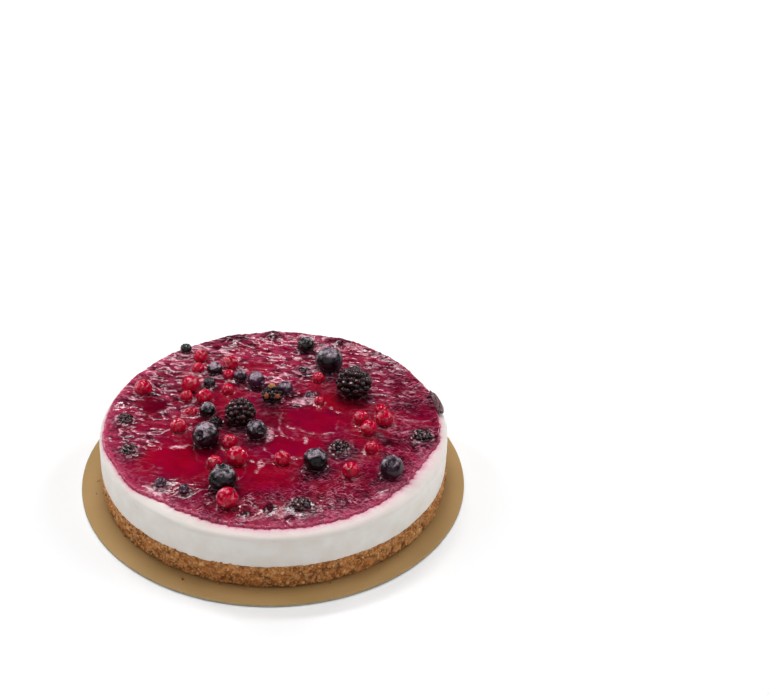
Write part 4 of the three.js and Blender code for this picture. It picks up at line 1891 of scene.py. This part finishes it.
    def closed(self, top: Skin) -> Skin:
        """Adds the underside, which is pressed a little into the cream.

        Args:
            top: The jelly's top.

        Returns:
            The closed skin.
        """
        count = 6 * self.rings
        last = len(top.points) - count
        rim = top.points[last:]
        angle = angles_round(count)
        edge = np.hypot(rim[:, 0], rim[:, 1])
        tucked = polar(edge - 0.5, angle, cream_top(edge - 0.5) - 0.5)
        bottom = CREAM_FLOOR - self.underside
        floor = polar(CREAM_FLOOR_RADIUS - 5, angle, bottom)
        points = np.concatenate([top.points, tucked, floor, [[0, 0, bottom]]])
        here = np.arange(count)
        after = (here + 1) % count
        first, second = len(top.points), len(top.points) + count
        faces = [top.faces]
        for upper, lower in ((last, first), (first, second)):
            faces.append(columns_of(upper + here, lower + here, lower + after))
            faces.append(columns_of(upper + here, lower + after, upper + after))
        faces.append(columns_of(second + here, len(points) - 1, second + after))
        extra = len(points) - len(top.points)
        values = {name: np.append(numbers, np.zeros(extra)) for name, numbers in top.values.items()}
        return Skin(points, np.concatenate(faces).astype(int), values)

    def build(self) -> None:
        """Adds the jelly."""
        skin = self.skin().moved(CAKE_CENTRE)
        add_piece("jelly", skin, [Finish.JELLY], "berry_jelly")


# ------------------------------------------------------------------------------ berries


@dataclass
class Blueberries:
    """The blueberries: a waxy ball with a five-pointed crown round a shallow well.

    Attributes:
        fine_from: Berries above this size get a finer mesh.
        crown_turn: How far from the blossom end the crown stands, in degrees round the berry.
        petals: How many points the crown has.
        height: The berry's height as a share of its width.
    """

    fine_from: float = 10.0
    crown_turn: float = 24.0
    petals: int = 5
    height: float = 0.93

    def skin(self, berry: Blueberry, number: int) -> Skin:
        """Builds one blueberry.

        Args:
            berry: The berry.
            number: Its number, which makes it uneven in its own way.

        Returns:
            Its skin, in place.
        """
        noise = Noise(81)
        template = ball(6 if berry.size > self.fine_from else 5)
        own = number * 7.3
        polar_angle = np.arccos(np.clip(template.points[:, 2], -1, 1))
        polar_angle *= 1 - 0.35 * hill(polar_angle, 0.8)  # more points where the crown is
        around_axis = np.arctan2(template.points[:, 1], template.points[:, 0])
        direction = polar(np.sin(polar_angle), around_axis, np.cos(polar_angle))
        turn = polar_angle / DEGREE
        petals = np.clip(np.cos(self.petals * around_axis + own), 0, 1) ** 1.5
        ragged = 1 + 0.5 * noise.wave(polar(5, around_axis, own))
        rim = hill(turn - self.crown_turn, 4.5) * (0.045 + 0.085 * petals * ragged)
        well = 0.2 * smooth(self.crown_turn - 2, self.crown_turn - 12, turn)
        scar = 0.03 * hill(turn, 3.5)
        dented = 0.03 * noise.wave(direction * 1.6 + own) + 0.012 * noise.wave(direction * 5 + own)
        stalk = 0.05 * hill(turn - 180, 9)
        radius = 1 + rim - well + scar + dented - stalk
        shape = direction * radius[:, None] * np.array([1.0, 1.0, self.height])
        turned = shape @ facing(berry.heading, berry.lift).T
        points = turned * berry.size / 2
        above = points[:, 2] - (berry.sink - berry.size / 2)
        rubbed = noise.wave(direction * 1.6 + own + 20) + 0.5 * noise.wave(direction * 4 + own)
        # the skin's own wax, kept to the upper side, which also paints the sheen of light from
        # above
        bloom = 1.35 * berry.bloom * smooth(0.38, 0.85, 0.85 * turned[:, 2] + 0.4 * rubbed)
        bloom *= 1 - 0.8 * smooth(self.crown_turn - 2, self.crown_turn - 8, turn)
        glaze = 0.7 * smooth(2.2, 0.2, above + 0.9 * rubbed)
        torn = noise.wave(direction * 3 + own + 30) + 0.6 * noise.wave(direction * 9 + own)
        # rime: a painted highlight ring, with some rime, just above the jelly's line
        values = {
            "rime": 0.8 * hill(above - 1.0 - 0.8 * torn, 0.4) * smooth(-0.2, 0.4, torn),
            "bloom": bloom,
            "glaze": glaze,
            "violet": np.full(len(points), berry.violet),
        }
        return Skin(points + berry.centre, template.faces, values)

    def build(self) -> None:
        """Adds every blueberry."""
        for number, berry in enumerate(BLUEBERRIES, start=1):
            name = f"blueberry_{number:02d}"
            skin = self.skin(berry, number)
            add_piece(f"berry_blue_{number:02d}", skin, [Finish.BLUEBERRY], name)


@dataclass
class Brambles:
    """The brambles: each a cluster of beads round a core.

    Attributes:
        fine_from: Berries above this size get a finer mesh.
        bead_reach: How far out the beads' middles lie, as a share of the berry's radius.
        overlap: How much larger the beads are than the room that each has.
        crown_highlight_aim: Which way the painted highlight on each bead's crown faces, toward the
            lights.
        crown_highlight: How strong that painted highlight is.
        scatter: How much the highlights' directions differ.
        lift: How far the tip of each berry points up, in degrees.
        stalked: The number of the berry that has the end of its stalk.
        stalk_bits: Each bit's x, y, z from the cake's centre, its size and how stained it is.
    """

    fine_from: float = 9.8
    bead_reach: float = 0.76
    overlap: float = 1.08
    crown_highlight_aim: tuple[float, float, float] = (-0.42, 0.2, 0.885)
    crown_highlight: float = 0.9
    scatter: float = 0.22
    lift: float = 30.0
    stalked: int = 4
    stalk_bits: tuple[tuple[float, float, float, float, float], ...] = (
        (-1.6, 23.6, 39.6, 3.5, 0.15),
        (-4.4, 18.2, 37.2, 2.4, 1.0),
        (1.2, 18.0, 37.0, 2.1, 1.0),
    )

    def skin(self, berry: Bramble, number: int, stretch: Array, turn: Array) -> Skin:
        """Builds one bramble with its middle at the origin.

        Args:
            berry: The berry.
            number: Its number, which sets its random draws.
            stretch: Its half width, half depth and half height.
            turn: The rotation matrix that it is turned by before it is stretched.

        Returns:
            Its skin.
        """
        draw = np.random.default_rng(900 + number)
        noise = Noise(91)
        template = ball(6 if berry.size > self.fine_from else 5)
        count = berry.beads
        level = 1 - (2 * np.arange(count) + 1) / count
        spin = np.arange(count) * GOLDEN_ANGLE
        flat = np.sqrt(1 - level**2)
        middles = columns_of(flat * np.cos(spin), flat * np.sin(spin), level)
        middles += draw.normal(0, 0.16 / math.sqrt(count / 12), middles.shape)
        middles /= np.linalg.norm(middles, axis=1, keepdims=True)
        reach = self.bead_reach + draw.normal(0, 0.02, count)
        bead = reach * math.sin(math.sqrt(4 * math.pi / count) / 2) * self.overlap
        bead *= 1 + draw.normal(0, 0.07, count)
        toward = template.points @ middles.T
        under_root = bead**2 - reach**2 * (1 - toward**2)
        hit = np.where(under_root > 0, reach * toward + np.sqrt(np.clip(under_root, 0, None)), 0)
        hit = np.where(toward > 0, hit, 0)
        nearest = hit.argmax(axis=1)
        radius = np.maximum(hit.max(axis=1), self.bead_reach * 0.9)
        radius /= np.percentile(radius, 98)
        valley = smooth(0.93, 0.8, radius)
        shape = (template.points * radius[:, None]) @ turn.T
        own = draw.random(count)
        wine = berry.wine * (0.35 + 0.9 * own[nearest]) * (1 - valley)
        patchy = smooth(0.1, 0.6, noise.wave(shape * 3 + number))
        # pale jelly on the upper side, partly painted highlight
        frost = berry.frost * smooth(0.1, 0.8, shape[:, 2]) * patchy
        outward = template.points * hit.max(axis=1)[:, None]
        outward -= middles[nearest] * reach[nearest][:, None]
        outward = (outward @ turn.T) / bead[nearest][:, None]
        aim = np.array(self.crown_highlight_aim) + draw.normal(0, self.scatter, (count, 3))
        aim /= np.linalg.norm(aim, axis=1, keepdims=True)
        # painted highlight: a pale spot on each bead's crown, where the lights would be mirrored
        crown = smooth(0.9, 0.98, (outward * aim[nearest]).sum(axis=1)) * (1 - valley)
        strength = self.crown_highlight * smooth(0.25, 0.8, draw.random(count))
        frost = np.clip(np.maximum(frost, crown * strength[nearest]), 0, 1)
        return Skin(shape * stretch, template.faces, {"wine": wine, "frost": frost})

    def stalk(self) -> Skin:
        """Builds the stalk's round end and the two torn bits in front of it.

        Returns:
            Their skin, in place, with every face in the second finish.
        """
        noise = Noise(95)
        bits = []
        for x, y, z, size, stained in self.stalk_bits:
            template = ball(4)
            uneven = 1 + (0.15 + 0.4 * stained) * noise.wave(template.points * 2.3 + x)
            points = template.points * uneven[:, None] * size / 2 + np.array([x, y, z])
            bits.append(Skin(points, template.faces, {"stained": np.full(len(points), stained)}))
            bits[-1].finish = np.ones(len(template.faces), int)
        return joined(bits).moved(CAKE_CENTRE)

    def build(self) -> None:
        """Adds every bramble, the fourth with what is left of its stalk."""
        for number, berry in enumerate(BRAMBLES, start=1):
            half = berry.size / 2
            stretch = np.array([half, half, half * berry.squash])
            turn = facing((number - 1) * SPREAD_TURN, self.lift)
            skin = self.skin(berry, number, stretch, turn).moved(berry.centre)
            finishes = [Finish.BRAMBLE]
            if number == self.stalked:
                skin = joined([skin, self.stalk()])
                finishes.append(Finish.PITH)
            name = f"bramble_{number:02d}"
            add_piece(f"berry_black_{number:02d}", skin, finishes, name)


@dataclass
class Redcurrants:
    """The redcurrants: clear red balls with the dry tip of a flower.

    Attributes:
        veins: How many veins run from end to end.
        tuft: The flower's radius as a share of the berry's.
        tuft_sides: How many corners the flower's rings have.
        highlight_side: Which way the pale film and its painted highlight face, toward the lights.
    """

    veins: int = 11
    tuft: float = 0.12
    tuft_sides: int = 20
    highlight_side: tuple[float, float, float] = (-0.5, 0.35, 0.79)

    def skin(self, berry: Berry, number: int) -> Skin:
        """Builds one redcurrant with its flower's tip.

        Args:
            berry: The berry.
            number: Its number, which makes it uneven in its own way.

        Returns:
            Its skin, in place, with the flower's tip as its second finish.
        """
        noise = Noise(101)
        template = ball(5)
        own = number * 5.7
        direction = template.points
        turn = np.arccos(np.clip(direction[:, 2], -1, 1)) / DEGREE
        spin = np.arctan2(direction[:, 1], direction[:, 0])
        neck = 0.06 * hill(turn, 13) - 0.05 * hill(turn - 180, 12)
        uneven = 0.03 * noise.wave(direction * 1.8 + own) + 0.012 * noise.wave(direction * 5 + own)
        shape = direction * (1 + neck + uneven)[:, None]
        matrix = facing((number - 1) * SPREAD_TURN, 35 + ((number - 1) * 17) % 50)
        half = berry.size / 2
        points = shape @ matrix.T * half
        wander = 0.25 * noise.wave(direction * 2.5 + own)
        meridian = np.abs(np.sin(self.veins * (spin + wander) / 2 + own))
        vein = smooth(0.22, 0.0, meridian) * smooth(8, 30, turn) * smooth(172, 150, turn)
        # painted shade: darker towards the bottom
        under = smooth(0.1, -0.6, points[:, 2] / half)
        coat = noise.wave(direction * 2.2 + own + 9) + 0.5 * noise.wave(direction * 6 + own)
        # pale film on the side facing highlight_side, partly painted highlight
        leaning = (points @ np.array(self.highlight_side)) / half
        frost = 0.6 * smooth(0.35, 0.8, coat + 0.5 * leaning - 0.1)
        # painted highlight ring just above the jelly's line, with some rime
        above = points[:, 2] + half - berry.sink
        waterline = 0.7 * hill(above - 0.7 - 0.7 * coat, 0.35) * smooth(-0.1, 0.4, coat)
        frost = np.maximum(frost, waterline)
        body = Skin(points, template.faces, {"vein": vein, "under": under, "frost": frost})
        body.finish = np.zeros(len(body.faces), int)
        flower = self.flower(number, half)
        flower.points = flower.points @ matrix.T
        return joined([body, flower]).moved(berry.centre)

    def flower(self, number: int, half: float) -> Skin:
        """Builds the withered flower as a crumpled, closed cone on the berry's tip.

        Args:
            number: The berry's number, which makes the flower uneven in its own way.
            half: The berry's radius.

        Returns:
            The skin, with the berry's middle at the origin and its tip up.
        """
        noise = Noise(102)
        angle = angles_round(self.tuft_sides)
        star = 1 + 0.45 * np.cos(5 * angle + number) + 0.3 * noise.wave(polar(2, angle, number))
        size = self.tuft * half
        rings = [
            polar(size * 0.9, angle, half * 0.98),
            polar(size * 0.75, angle, half * 1.06),
            polar(size * star * 1.1, angle, half * (1.1 + 0.05 * star)),
            polar(size * star * 0.8, angle, half * (1.09 + 0.05 * star)),
            polar(size * 0.3, angle, half * 1.05),
        ]
        skin = skin_of_rings(np.array([0, 0, half * 0.9]), rings, np.array([0, 0, half * 1.06]))
        skin.finish = np.ones(len(skin.faces), int)
        return skin

    def build(self) -> None:
        """Adds every redcurrant."""
        finishes = (Finish.REDCURRANT, Finish.SEPAL)
        for number, berry in enumerate(REDCURRANTS, start=1):
            name = f"redcurrant_{number:02d}"
            skin = self.skin(berry, number)
            add_piece(f"berry_red_{number:02d}", skin, finishes, name)


@dataclass
class RimBerry:
    """The crushed dark berry that hangs over the rim on the right: a smooth, limp flap of skin."""

    heading: float = 10.5
    along: float = 20.0
    across: float = 4.8
    height: float = 3.0
    droop: float = 34.0
    bend: float = 0.012  # how much it curves with the rim, per millimetre
    outset: float = 0.7  # how far past the lip its middle lies
    lift: float = 1.9  # how far above the lip its middle lies

    def build(self) -> None:
        """Adds the crushed berry."""
        noise = Noise(111)
        template = ball(5)
        crease = 0.16 * noise.wave(template.points * np.array([3.2, 1.1, 3.2]))
        wrinkle = 0.05 * noise.wave(template.points * np.array([9.0, 2.5, 9.0]) + 5)
        shape = template.points * (1 + crease + wrinkle)[:, None]
        shape[:, 1] = np.sign(shape[:, 1]) * np.abs(shape[:, 1]) ** 0.85
        points = shape * np.array([self.across, self.along, self.height]) / 2
        points[:, 0] -= self.bend * points[:, 1] ** 2
        streak = noise.wave(template.points * np.array([7.0, 1.6, 7.0]) + 9)
        # frost: pale streaks on the upper side, partly pale jelly and partly painted highlight
        values = {
            "wine": 0.85 + 0.3 * noise.wave(template.points * 2.0),
            "frost": 0.06 + 0.4 * smooth(0.0, 0.6, streak) * smooth(-0.2, 0.6, shape[:, 2]),
        }
        tilt = np.array(Matrix.Rotation(self.droop * DEGREE, 3, "Y"))
        spin = np.array(Matrix.Rotation(self.heading * DEGREE, 3, "Z"))
        angle = np.array(self.heading * DEGREE)
        spot = polar(LIP_RADIUS + self.outset, angle, LIP_HEIGHT + self.lift)
        placed = Skin(points @ tilt.T @ spin.T + spot + CAKE_CENTRE, template.faces, values)
        add_piece("berry_on_rim", placed, [Finish.BRAMBLE], "rim_berry")


# ------------------------------------------------------------------------------ studio


@dataclass(frozen=True)
class Softbox:
    """A soft studio light.

    Attributes:
        name: Its name.
        place: Where it stands, in metres.
        aim: The point that it faces, in metres.
        size: Its width and height, in metres.
        power: Its power in watts.
    """

    name: str
    place: tuple[float, float, float]
    aim: tuple[float, float, float]
    size: tuple[float, float]
    power: float

    def build(self) -> None:
        """Adds the light."""
        data = bpy.data.lights.new(self.name, "AREA")
        data.shape = "RECTANGLE"
        data.size, data.size_y = self.size
        data.energy = self.power
        light = bpy.data.objects.new(self.name, data)
        light.location = self.place
        toward = Vector(self.aim) - Vector(self.place)
        light.rotation_euler = toward.to_track_quat("-Z", "Y").to_euler()
        bpy.context.scene.collection.objects.link(light)


@dataclass
class Studio:
    """The white floor, the soft lights and the camera."""

    floor_size: float = 9.0
    floor_drop: float = 0.0002  # keeps the paper clear of the board's underside
    pitch: float = 32.912
    yaw: float = 5.397
    roll: float = 2.571
    place: tuple[float, float, float] = (0.0, -0.58621, 0.46097)
    sensor: float = 36.0
    focal: float = 36.0 * 1400 / 770  # the lens makes the picture, 770 wide, 1400 away
    ambient: float = 0.02
    ambient_tint: str = "#f2f5ff"
    backdrop: str = "#f7f8fa"
    lights: tuple[Softbox, ...] = (
        Softbox("light_left", (-2.0, 0.1, 1.6), (0.0, 0.0, 0.0), (1.5, 1.3), 16.0),
        Softbox("light_right", (2.0, 0.1, 1.6), (0.0, 0.0, 0.0), (1.2, 1.2), 19.0),
        Softbox("light_overhead", (0.0, 0.1, 1.6), (0.0, 0.0, 0.0), (0.55, 0.45), 8.6),
        Softbox("light_back", (-0.2, 0.85, 1.42), (0.0, 0.0, 0.03), (0.75, 0.14), 8.6),
        Softbox("strip_left", (-0.95, 0.95, 0.65), (0.0, 0.0, 0.03), (0.18, 0.6), 4.6),
        Softbox("strip_right", (0.95, 0.95, 0.65), (0.0, 0.0, 0.03), (0.18, 0.6), 4.0),
        Softbox("light_front", (0.1, -2.0, 1.4), (0.0, 0.0, 0.02), (4.8, 2.2), 20.5),
    )

    def build(self) -> None:
        """Adds the floor, the surroundings, the lights and the camera."""
        self.floor()
        self.surroundings()
        for light in self.lights:
            light.build()
        self.camera()
        bpy.context.scene.view_settings.view_transform = "Standard"

    def floor(self) -> None:
        """Adds the white paper that the cake stands on."""
        mesh = bpy.data.meshes.new("floor")
        half = self.floor_size / 2
        corners = [(-half, -half, 0), (half, -half, 0), (half, half, 0), (-half, half, 0)]
        mesh.from_pydata(corners, [], [(0, 1, 2, 3)])
        mesh.materials.append(material_of(Finish.PAPER))
        floor = bpy.data.objects.new("floor", mesh)
        floor.location.z = -self.floor_drop
        bpy.context.scene.collection.objects.link(floor)

    def surroundings(self) -> None:
        """Makes the room behind the floor pale to look at, and dim as a light."""
        world = bpy.data.worlds.new("studio")
        nodes = Nodes(world)
        seen = nodes.add("LightPath", out="Is Camera Ray")
        dim = nodes.add("Background", self.ambient_tint, self.ambient)
        pale = nodes.add("Background", self.backdrop)
        nodes.add("OutputWorld", nodes.add("MixShader", seen, dim, pale))
        bpy.context.scene.world = world

    def camera(self) -> None:
        """Adds the camera, turned by its yaw, pitch and roll."""
        data = bpy.data.cameras.new("camera")
        data.sensor_width, data.lens = self.sensor, self.focal
        data.clip_start, data.clip_end = 0.01, 50.0
        camera = bpy.data.objects.new("camera", data)
        yaw, pitch, roll = (a * DEGREE for a in (self.yaw, self.pitch, self.roll))
        level = math.cos(pitch)
        ahead = Vector((math.sin(yaw) * level, math.cos(yaw) * level, -math.sin(pitch)))
        right = Vector((math.cos(yaw), -math.sin(yaw), 0))
        up = right.cross(ahead)
        across = right * math.cos(roll) + up * math.sin(roll)
        upward = up * math.cos(roll) - right * math.sin(roll)
        basis = Matrix((across, upward, -ahead)).transposed().to_4x4()
        camera.matrix_world = Matrix.Translation(self.place) @ basis
        bpy.context.scene.collection.objects.link(camera)
        bpy.context.scene.camera = camera


# ------------------------------------------------------------------------------ assembly


def main() -> None:
    """Builds the cake from the board up, then the studio."""
    logging.basicConfig(level=logging.INFO, format="%(name)s: %(message)s")
    seam, outline = Seam(), JellyOutline()
    parts = (
        CakeBoard(),
        BiscuitBase(seam),
        CheeseLayer(seam, outline),
        BerryJelly(outline),
        Blueberries(),
        Brambles(),
        Redcurrants(),
        RimBerry(),
    )
    for part in parts:
        part.build()
        log.info("built %s", type(part).__name__)
    Studio().build()


if __name__ == "__main__":
    main()
